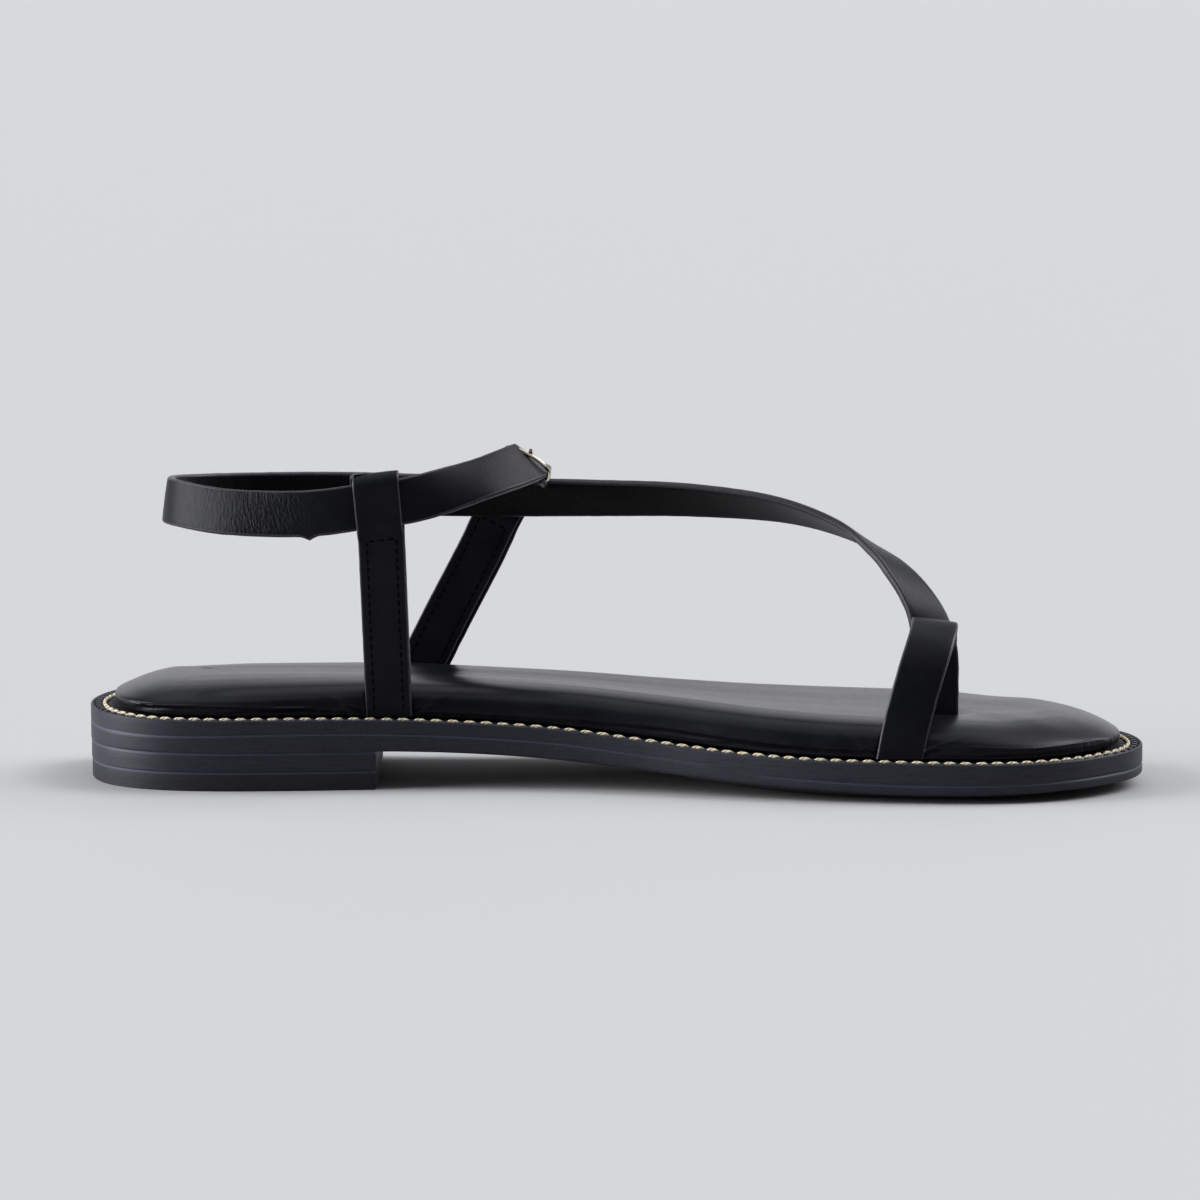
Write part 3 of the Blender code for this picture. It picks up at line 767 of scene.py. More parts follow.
@dataclass(frozen=True)
class Thread:
    """Waxed twisted thread: two plies that wind round each other, matt with a little wax."""

    name: str
    dark: str
    light: str
    twist_mm: float = 1.4  # length of one turn
    fibre_mm: float = 0.3
    ply_share: float = 0.35  # how much the plies count beside the fibres
    ply_height_mm: float = 0.15
    roughness: float = 0.65
    wax_index: float = 1.45

    def material(self) -> bpy.types.Material:
        """Make the finish's nodes, whose plies follow the unrolled stitch.

        Returns:
            The material.
        """
        material, tree, shader = new_material(self.name)
        unrolled = add_node(tree, "ShaderNodeUVMap", {"uv_map": "unrolled"}).outputs["UV"]
        parts = add_node(tree, "ShaderNodeSeparateXYZ", inputs={"Vector": unrolled})
        along = add_node(tree, "ShaderNodeMath", {"operation": "MULTIPLY"}, {
            0: parts.outputs["Y"], 1: 2 * math.pi / self.twist_mm})
        turn = add_node(tree, "ShaderNodeMath", {"operation": "MULTIPLY_ADD"}, {
            0: parts.outputs["X"], 1: 2.0, 2: along.outputs[0]})
        ply = add_node(tree, "ShaderNodeMath", {"operation": "SINE"}, {0: turn.outputs[0]})
        place = add_node(tree, "ShaderNodeTexCoord").outputs["Object"]
        fibre = add_node(tree, "ShaderNodeTexNoise", inputs={
            "Vector": place, "Scale": per_metre(self.fibre_mm), "Detail": 3.0, "Roughness": 0.6})
        height = add_node(tree, "ShaderNodeMath", {"operation": "MULTIPLY_ADD"}, {
            0: ply.outputs[0], 1: self.ply_share, 2: fibre.outputs["Fac"]})
        tone = add_node(tree, "ShaderNodeValToRGB", inputs={"Fac": height.outputs[0]},
                        stops=((0.1, self.dark), (0.6, self.light)))
        surface = add_node(tree, "ShaderNodeBump", inputs={
            "Strength": 0.7, "Distance": self.ply_height_mm * MM, "Height": height.outputs[0]})
        feed(tree, shader, {
            "Base Color": tone.outputs["Color"], "Normal": surface.outputs["Normal"],
            "Roughness": self.roughness, "IOR": self.wax_index})
        return material


@dataclass(frozen=True)
class PlatedWire:
    """Drawn wire, tumbled and plated in pale gold: mirror-like, with faint marks from the tumbling."""

    name: str
    colour: str = "#CFC6AB"
    mark_mm: float = 1.5
    roughness: float = 0.16
    roughness_range: tuple[float, float] = (0.7, 1.4)  # as parts of it

    def material(self) -> bpy.types.Material:
        """Make the finish's nodes.

        Returns:
            The material.
        """
        material, tree, shader = new_material(self.name)
        place = add_node(tree, "ShaderNodeTexCoord").outputs["Object"]
        marks = add_node(tree, "ShaderNodeTexNoise", inputs={
            "Vector": place, "Scale": per_metre(self.mark_mm), "Detail": 4.0})
        gloss = add_node(tree, "ShaderNodeMapRange", inputs={
            "Value": marks.outputs["Fac"], "From Min": 0.3, "From Max": 0.7,
            "To Min": self.roughness * self.roughness_range[0],
            "To Max": self.roughness * self.roughness_range[1]})
        feed(tree, shader, {
            "Base Color": linear(self.colour), "Roughness": gloss.outputs["Result"], "Metallic": 1.0})
        return material


class Finishes:
    """Every finish on the sandal, each made once."""

    def __init__(self) -> None:
        """Make the materials."""
        self.strap = GrainLeather("strap_calf", wax_index=1.18).material()
        self.edge = CutEdge("inked_edge_and_painted_highlight").material()
        self.flesh = FleshSide("napped_back").material()
        self.footbed = GrainLeather("footbed_calf", pebble_mm=0.7, pebble_height_mm=0.008, wrinkle_turn=75.0,
                                    roughness=0.3, roughness_spread=0.04).material()
        self.sole = SoleRubber("ground_sole_edge").material()
        self.tread = SoleRubber("tread_rubber", dark="#101114", light="#1C1D22", roughness=0.6).material()
        self.cream = Thread("cream_thread", dark="#7A6E52", light="#DACDB0").material()
        self.black_thread = Thread("black_thread", dark="#020203", light="#060608", twist_mm=0.8,
                                   wax_index=1.1).material()
        self.metal = PlatedWire("pale_gold").material()

    @property
    def strap_set(self) -> tuple[bpy.types.Material, ...]:
        """The three finishes of a strap, in the order of Face."""
        return self.strap, self.edge, self.flesh


# Stitches


@dataclass(frozen=True)
class Stitch:
    """One stitch of thread, arched, with both ends drawn down into their holes."""

    length: float
    radius: float
    arch: float
    sink: float
    sides: int = 8
    steps: int = 6
    blunt: float = 0.06  # the part of a full arch that is missing at each end
    fullness: float = 0.6  # a lower power holds the thread's width further towards its ends
    thin_end: float = 0.3

    def sew(self, seam: bmesh.types.BMesh, places: Sequence[Matrix]) -> None:
        """Add the stitch to a seam at each place, lying along the place's x with its z outwards.

        Args:
            seam: The mesh that takes the stitches.
            places: Where they go.
        """
        def spot(column: int, row: int) -> Spot:
            """Place one point of the thread.

            Args:
                column: Its number round the thread.
                row: Its number along the stitch.

            Returns:
                The point.
            """
            turn = 2 * math.pi * column / self.sides
            t = row / self.steps
            full = math.sin(math.pi * (self.blunt + (1 - 2 * self.blunt) * t)) ** self.fullness
            size = self.radius * (self.thin_end + (1 - self.thin_end) * full)
            lift = self.arch * full - self.sink * (1 - full)
            place = Vector(((t - 0.5) * self.length, math.cos(turn) * size, math.sin(turn) * size + lift))
            return Spot(place, turn, t * self.length)

        data = mesh_data("stitch", wrap_grid(self.sides, self.steps, spot))
        for place in places:
            first = len(seam.verts)
            seam.from_mesh(data)
            seam.verts.ensure_lookup_table()
            bmesh.ops.transform(seam, matrix=place, verts=seam.verts[first:])
        bpy.data.meshes.remove(data)


def lay(centre: Vector, along: Vector, outward: Vector) -> Matrix:
    """Lay a thing along one way so that it faces another.

    Args:
        centre: The thing's middle.
        along: The way of its x.
        outward: The way of its z, as near as it can be.

    Returns:
        Its place.
    """
    along = along.normalized()
    side = outward.cross(along).normalized()
    return Matrix.Translation(centre) @ Matrix((along, side, along.cross(side))).transposed().to_4x4()


# Sole


class Station(NamedTuple):
    """One point of an outline."""

    place: Vector
    inward: Vector
    along: float
    section: Section


class Outline:
    """A closed line round the sole or the heel, seen from above."""

    def __init__(self, corners: Sequence[tuple[Vector, Section]]) -> None:
        """Measure the line.

        Args:
            corners: Points in order, with the sole's heights at each. The first isn't repeated.
        """
        self.corners = [*corners, corners[0]]
        self.reach = running_length([place for place, _ in self.corners])
        self.length = self.reach[-1]

    @classmethod
    def sides(cls) -> tuple[list[tuple[Vector, Section]], list[tuple[Vector, Section]]]:
        """Run the sole's two edges at close steps, both from heel to toe.

        Returns:
            The medial edge and the lateral edge.
        """
        def swapped(row: Section) -> Section:
            """Return the row with its two edges swapped, as it goes on round an end."""
            return row._replace(medial=row.lateral, lateral=row.medial)

        dense = curve(SECTIONS, EDGE_STEPS, swapped(SECTIONS[1]), swapped(SECTIONS[-2]))
        rows = [Section(*row) for row in dense]
        rows = [row._replace(tread=max(0.0, row.tread)) for row in rows]
        medial = [(Vector((row.x, row.medial)), row) for row in rows]
        lateral = [(Vector((row.x, row.lateral)), row) for row in rows]
        return medial, lateral

    @classmethod
    def of_sole(cls) -> "Outline":
        """Return the whole sole's outline, from the heel's back along the medial edge."""
        medial, lateral = cls.sides()
        return cls(medial + lateral[-2:0:-1])

    @classmethod
    def of_heel(cls, medial_length: float, lateral_length: float) -> "Outline":
        """Close the heel's outline straight across its front.

        Args:
            medial_length: The heel's length along the medial edge.
            lateral_length: Its length along the lateral edge.

        Returns:
            The outline.
        """
        medial, lateral = cls.sides()
        near = [corner for corner in medial if corner[0].x <= medial_length]
        far = [corner for corner in lateral if corner[0].x <= lateral_length]
        return cls(near + far[:0:-1])

    def walk(self, count: int) -> list[Station]:
        """Go round the line at even steps.

        Args:
            count: How many steps.

        Returns:
            The points, with the first one again at the end.
        """
        places, sections = [], []
        for k in range(count):
            target = self.length * k / count
            i, t = locate(self.reach, target)
            (a, low), (b, high) = self.corners[i], self.corners[i + 1]
            places.append(a.lerp(b, t))
            sections.append(low.towards(high, t))
        stations = []
        for k in range(count + 1):
            i = k % count
            along = (places[(i + 1) % count] - places[i - 1]).normalized()
            inward = Vector((-along.y, along.x))
            stations.append(Station(places[i], inward, self.length * k / count, sections[i]))
        return stations


Level = Callable[[Station], float]
SPINE_SHARE = 0.86  # the middle line's length as a part of the innermost ring's
UNROLLED_INSET = 4.0  # how far a millimetre of inset counts on the unrolled surface


class Ring(NamedTuple):
    """One line round the sole: how far in it lies, its height, its mark (wrinkles, or on the rubber a painted
    highlight) and its pull to the middle.
    """

    inset: float
    height: Level
    mark: Level | None = None
    middle: float = 0.0


def ring_mesh(stations: Sequence[Station], rings: Sequence[Ring], core_inset: float = 13.0,
              relief: Callable[[Vector, Station, int], Vector] | None = None,
              paint: Callable[[int, int], int] | None = None) -> bmesh.types.BMesh:
    """Make a layer of the sole from rings.

    Args:
        stations: The outline's points, the first one repeated at the end.
        rings: The rings in order.
        core_inset: The inset from which rings are drawn to the middle line.
        relief: Moves each point, given its place, its station and the number of its ring.
        paint: Gives a face's material index from its column and row.

    Returns:
        The layer's mesh, in millimetres.
    """
    count = len(stations) - 1
    core = [station.place + station.inward * core_inset for station in stations]
    middle_x = sum(point.x for point in core) / len(core)

    def spine(column: int) -> Vector:
        """Find where a column of the grid meets the middle line.

        Args:
            column: The number of its station.

        Returns:
            The point, seen from above.
        """
        point = (core[column] + core[count - column]) / 2
        point.x = middle_x + (point.x - middle_x) * SPINE_SHARE
        return point

    spines = [spine(column) for column in range(count + 1)]
    rows = [section for _, section in Outline.sides()[0]]
    starts = [section.x for section in rows]

    def settled(station: Station, x: float, share: float) -> Station:
        """Give a station the sole's heights at a point that was drawn away from it.

        Args:
            station: The station.
            x: The point's place along the sole.
            share: How much of the heights is taken from there.

        Returns:
            The station with its new heights.
        """
        i, t = locate(starts, x)
        here = rows[i].towards(rows[i + 1], t)
        return station._replace(section=station.section.towards(here, share))

    def spot(column: int, row: int) -> Spot:
        """Place one point of the layer.

        Args:
            column: The number of its station.
            row: The number of its ring.

        Returns:
            The point.
        """
        station, ring = stations[column], rings[row]
        flat = station.place + station.inward * ring.inset
        if ring.middle:
            flat = flat.lerp(spines[column], ring.middle)
            station = settled(station, flat.x, min(1.0, 2 * ring.middle))
        place = Vector((flat.x, flat.y, ring.height(station)))
        if relief:
            place = relief(place, station, row)
        mark = ring.mark(station) if ring.mark else 0.0
        return Spot(place, station.along, place.z - UNROLLED_INSET * ring.inset, mark)

    return wrap_grid(count, len(rings) - 1, spot, paint)


@dataclass
class Sole:
    """The stitched sole: midsole with its rim, outsole, heel and the cream stitching."""

    sharp: float = 40.0  # in degrees
    hidden_inset: float = 8.0  # how far in the faces between two layers reach
    layer_gap: float = 0.02
    midsole_thickness: float = 3.1
    heel_thicker: float = 0.8  # and this much more at the heel's back
    heel_thicker_end: float = 60.0
    lip_radius: float = 0.4
    lip_steps: int = 5
    lip_width: float = 0.5
    lip_drop: float = 0.03
    lip_bevel: float = 0.15
    band: tuple[float, float] = (0.75, 2.75)  # the ribbed band, by inset
    channel: tuple[float, float] = (2.9, 4.0)  # the stitches lie in this channel
    channel_wall: float = 0.2
    rim_width: float = 5.5
    tucked: tuple[float, float] = (6.5, 9.0)  # the midsole's top goes on under the footbed
    band_drop: float = 0.75
    channel_drop: float = 0.8
    rib_height: float = 0.75
    rib_slope: float = 0.3
    rib_overlap: float = 0.1
    rib_wave: tuple[float, float] = (-0.3, 0.2)  # a rib rises over this part of the wave
    inner_ribs: float = 0.7  # height of the ribs inside the stitches, as a part of the others
    rib_steps: int = 14
    stitch_pitch: float = 3.9
    stitch_inset: float = 3.4
    stitch_centre: float = -0.25  # height of the thread's middle above the lip
    stitch_wobble: float = 0.08
    stitch_turn: float = 0.35
    stitch: Stitch = Stitch(length=3.35, radius=0.5, arch=0.08, sink=0.4)
    outsole_steps: int = 720
    joint_open: float = 0.22  # depth of the line between two layers
    joint_height: float = 0.75
    joint_lip: float = 0.05
    joint_back: float = 0.2
    joint_fade: tuple[float, float] = (85.0, 165.0)  # the line under the midsole fades out here
    groove_rise: float = 2.3
    groove_depth: float = 0.3
    groove_fade: tuple[float, float] = (158.0, 186.0)
    foot_round: float = 0.8
    foot_start: tuple[float, float] = (70.0, 78.0)  # in front of the heel the lower edge is rounded
    foot_least: float = 0.1  # over the heel only this part of the rounding is left
    tread_flat: float = 13.0
    heel_steps: int = 360
    heel_lengths: tuple[float, float] = (73.0, 68.6)  # medial and lateral
    heel_seam: float = 4.6
    heel_step: float = 0.3
    heel_bevel: float = 0.12
    outline: Outline = field(default_factory=Outline.of_sole)

    def build(self, finishes: Finishes) -> None:
        """Make every piece of the sole.

        Args:
            finishes: The sandal's finishes.
        """
        sole, tread = finishes.sole, finishes.tread
        lift = self.heel_layer(self.heel_seam, SECTIONS[0].edge, self.heel_step / 2)
        top_piece = self.heel_layer(0.0, self.heel_seam, self.heel_step)
        for name, mesh, dress, slot, node in (
            ("sole_midsole", self.midsole(), [sole], Slot.SOLE, "midsole"),
            ("sole_outsole", self.outsole(), [sole, tread], Slot.SOLE, "outsole"),
            ("heel_stack_lift", lift, [sole], Slot.SOLE, "heel_lift"),
            ("heel_stack_top_piece", top_piece, [tread], Slot.TREAD, "heel_top_piece"),
        ):
            add_piece(name, mesh, dress, slot, [node], self.sharp)
        add_piece("rim_stitching", self.stitching(), [finishes.cream], Slot.SOLE)

    @property
    def stitch_count(self) -> int:
        """How many stitches go round the rim."""
        return round(self.outline.length / self.stitch_pitch)

    def thickness(self, station: Station) -> float:
        """Return the midsole's thickness at its edge."""
        back = 1 - ramp(station.section.x, 0.0, self.heel_thicker_end)
        return self.midsole_thickness + self.heel_thicker * back

    def joint_with_painted_highlight(self, station: Station) -> float:
        """Return how plain the line between midsole and outsole and its painted highlight are, from 0 to 1.
        """
        return 1.0 - ramp(station.section.x, *self.joint_fade)

    def groove(self, station: Station) -> float:
        """Return how plain the groove round the forefoot and its painted highlight are, from 0 to 1."""
        return ramp(station.section.x, *self.groove_fade)

    def midsole(self) -> bmesh.types.BMesh:
        """Make the midsole: side, lip, ribbed band and the channel of the stitches.

        Returns:
            Its mesh, in millimetres.
        """
        ribs = self.stitch_count
        stations = self.outline.walk(ribs * self.rib_steps)

        def below(drop: float) -> Level:
            """Return the level that is this much under the rim's top."""
            return lambda station: station.section.rim - drop

        def side(share: float) -> Level:
            """Return the level that is this share of the midsole's thickness under its top."""
            return lambda station: station.section.rim - share * self.thickness(station)

        def strip(first: float, last: float, spans: int, drop: float) -> list[Ring]:
            """Return even rings from one inset to another, all this much under the rim's top."""
            return [Ring(first + (last - first) * k / spans, below(drop)) for k in range(spans + 1)]

        rings = [Ring(self.hidden_inset, side(1.0)), Ring(0.0, side(1.0)), Ring(0.0, side(0.5))]
        for k in range(self.lip_steps + 1):
            turn = math.radians(90 * k / self.lip_steps)
            inset = self.lip_radius * (1 - math.cos(turn))
            rings.append(Ring(inset, below(self.lip_radius * (1 - math.sin(turn)))))
        start, end = self.band
        inner = self.channel[1] + self.channel_wall
        rings += [
            Ring(self.lip_width, below(self.lip_drop)),
            Ring(start - self.lip_bevel, below(self.lip_bevel)),
            *strip(start, end, 4, self.band_drop),
            *strip(*self.channel, 2, self.channel_drop),
            *strip(inner, self.rim_width, 4, self.band_drop),
            *strip(*self.tucked, 1, self.channel_drop),
        ]

        def relief(place: Vector, station: Station, row: int) -> Vector:
            """Raise a point of the rim where it lies on a rib.

            Args:
                place: The point.
                station: Its station on the outline.
                row: The number of its ring.

            Returns:
                The point's new place.
            """
            inset, slope = rings[row].inset, self.rib_slope
            if rings[row].height(station) < station.section.rim - self.channel_drop:
                return place
            outer = smooth((inset - start) / slope) * smooth((end + self.rib_overlap - inset) / slope)
            deep = smooth((inset - inner) / slope) * smooth((self.rim_width + slope - inset) / slope)
            wave = math.cos(2 * math.pi * station.along / self.outline.length * ribs)
            place.z += self.rib_height * ramp(wave, *self.rib_wave) * max(outer, self.inner_ribs * deep)
            return place

        return ring_mesh(stations, rings, relief=relief)

    def outsole(self) -> bmesh.types.BMesh:
        """Make the outsole: side with its two lines, arch, toe spring and level tread.

        Returns:
            Its mesh, in millimetres.
        """
        stations = self.outline.walk(self.outsole_steps)

        def top(drop: float) -> Level:
            """Return the level that is this much under the outsole's top."""
            return lambda station: station.section.rim - self.thickness(station) - self.layer_gap - drop

        def rise(amount: float) -> Level:
            """Return the level that is this much above the side's lower edge."""
            return lambda station: station.section.edge + amount

        def tread(share: float) -> Level:
            """Return the level that is a share of the way from the side's lower edge to the tread."""
            return lambda at: at.section.edge + (at.section.tread - at.section.edge) * share

        def joint_with_painted_highlight(share: float) -> Level:
            """Return the painted highlight of a ring by the line under the midsole."""
            return lambda station: share * self.joint_with_painted_highlight(station)

        def groove(share: float) -> Level:
            """Return the painted highlight of a ring by the forefoot's groove."""
            return lambda station: share * self.groove(station)

        tall = self.joint_height
        # The rings at the line under the midsole carry a painted highlight as their mark.
        rings = [
            Ring(self.hidden_inset, top(0.0)),
            Ring(0.0, top(0.0), joint_with_painted_highlight(0.7)),
            Ring(0.0, top(self.joint_lip), joint_with_painted_highlight(1.0)),
            Ring(0.0, top(0.5 * tall), joint_with_painted_highlight(1.0)),
            Ring(0.0, top(0.8 * tall), joint_with_painted_highlight(0.35)),
            Ring(0.0, top(tall)),
        ]
        joint_depth = {1: 1.6, 2: 1.0, 3: 0.6, 4: 0.15}
        wall = len(rings)
        # The groove's rings carry a painted highlight as their mark.
        for offset, mark in ((0.6, 0.0), (0.32, 0.2), (0.05, 0.75), (-0.2, 0.5), (-0.45, 0.0)):
            rings.append(Ring(0.0, rise(self.groove_rise + offset), groove(mark)))
        groove_depth = {wall + 1: 0.5, wall + 2: 1.0, wall + 3: 0.3}
        foot = len(rings)
        rings += [Ring(0.0, rise(self.foot_round * share)) for share in (1.0, 0.5, 0.15, 0.0)]
        foot_depth = {foot + 1: 0.13, foot + 2: 0.45, foot + 3: 1.0}
        side_end = len(rings) - 1
        rings.append(Ring(0.45 * self.tread_flat, tread(0.62)))
        rings += [Ring(self.tread_flat, tread(1.0), None, middle) for middle in (0.0, 0.5, 1.0)]

        def relief(place: Vector, station: Station, row: int) -> Vector:
            """Move a point of the side inwards at its two lines and at its lower edge.

            Args:
                place: The point.
                station: Its station on the outline.
                row: The number of its ring.

            Returns:
                The point's new place.
            """
            depth = joint_depth.get(row, 0.0) * self.joint_open * self.joint_with_painted_highlight(station)
            depth += groove_depth.get(row, 0.0) * self.groove_depth * self.groove(station)
            free = self.foot_least + (1 - self.foot_least) * ramp(station.section.x, *self.foot_start)
            depth += foot_depth.get(row, 0.0) * self.foot_round * free
            return place + Vector((*(station.inward * depth), 0.0))

        return ring_mesh(stations, rings, self.tread_flat, relief, lambda column, row: int(row >= side_end))

    def heel_layer(self, low: float, high: float, inset: float) -> bmesh.types.BMesh:
        """Make one layer of the heel.

        Args:
            low: Height of its underside.
            high: Height of its top.
            inset: How much smaller it is than the sole.

        Returns:
            The layer's mesh, in millimetres.
        """
        stations = Outline.of_heel(*self.heel_lengths).walk(self.heel_steps)
        deep, tall, bevel = self.joint_open, self.joint_height, self.heel_bevel
        top = high - self.layer_gap
        # Each step: inset, height and the painted highlight of the line between two layers.
        steps = (
            (self.hidden_inset, top, 0.0),
            (inset + deep + self.joint_back, top, 0.7),
            (inset + deep, top - self.joint_lip, 1.0),
            (inset + 0.6 * deep, top - 0.5 * tall, 1.0),
            (inset + 0.15 * deep, top - 0.8 * tall, 0.35),
            (inset, top - tall, 0.0),
            (inset, (low + high) / 2, 0.0),
            (inset, low + bevel, 0.0),
            (inset + bevel, low, 0.0),
            (self.hidden_inset, low, 0.0),
        )

        def always(value: float) -> Level:
            """Return a level that is the same all round."""
            return lambda station: value

        rings = [Ring(step, always(z), always(mark)) for step, z, mark in steps]
        return ring_mesh(stations, rings)

    def stitching(self) -> bmesh.types.BMesh:
        """Make the cream stitches, one after another round the rim.

        Returns:
            Their mesh, in millimetres.
        """
        count = self.stitch_count
        stations = self.outline.walk(count * 2)
        places = []
        for k in range(count):
            behind, station, ahead = stations[2 * k: 2 * k + 3]
            flat = station.place + station.inward * self.stitch_inset
            wobble = self.stitch_wobble * noise.noise(Vector((k * 1.7, 0.0, 0.0)))
            centre = Vector((flat.x, flat.y, station.section.rim + self.stitch_centre + wobble))
            slope = ahead.section.rim - behind.section.rim
            along = Vector((*(ahead.place - behind.place), slope))
            along.xy += station.inward * self.stitch_turn * noise.noise(Vector((k * 2.3, 4.0, 0.0)))
            places.append(lay(centre, along, UPWARDS))
        seam = bmesh.new()
        self.stitch.sew(seam, places)
        return seam


# Footbed


class Press(NamedTuple):
    """A strap foot that presses into the footbed's side."""

    x: float
    y: float  # the strap's inner face at its foot
    z: float
    lean_x: float  # how far the strap moves forwards for each millimetre that it rises
    lean_y: float
    side: float  # -1 on the medial side, 1 on the lateral side


class Crease(NamedTuple):
    """A thin raised fold along the footbed's side, from one height on it to another."""

    side: float
    start: float
    end: float
    low: float
    high: float
    height: float


PRESSES = (
    Press(75.05, -20.4, 17.0, -0.03, -0.096, -1.0),
    Press(75.6, 26.7, 17.0, 0.48, 0.106, 1.0),
    Press(196.6, -38.9, 9.9, 0.2, 0.075, -1.0),
)

CREASES = (
    Crease(-1.0, 8.0, 30.0, 0.26, 0.36, 0.30),
    Crease(-1.0, 20.0, 66.0, 0.36, 0.20, 0.22),
    Crease(-1.0, 34.0, 60.0, 0.16, 0.26, 0.16),
    Crease(-1.0, 112.0, 152.0, 0.24, 0.32, 0.16),
    Crease(-1.0, 124.0, 178.0, 0.36, 0.28, 0.26),
    Crease(-1.0, 146.0, 194.0, 0.22, 0.26, 0.20),
    Crease(-1.0, 201.0, 218.0, 0.30, 0.40, 0.13),
    Crease(-1.0, 212.0, 236.0, 0.40, 0.34, 0.15),
    Crease(-1.0, 228.0, 250.0, 0.34, 0.42, 0.13),
    Crease(-1.0, 214.0, 246.0, 0.20, 0.24, 0.12),
    Crease(1.0, 10.0, 58.0, 0.34, 0.24, 0.24),
    Crease(1.0, 90.0, 146.0, 0.26, 0.34, 0.20),
    Crease(1.0, 132.0, 198.0, 0.34, 0.24, 0.24),
    Crease(1.0, 190.0, 246.0, 0.26, 0.38, 0.28),
)


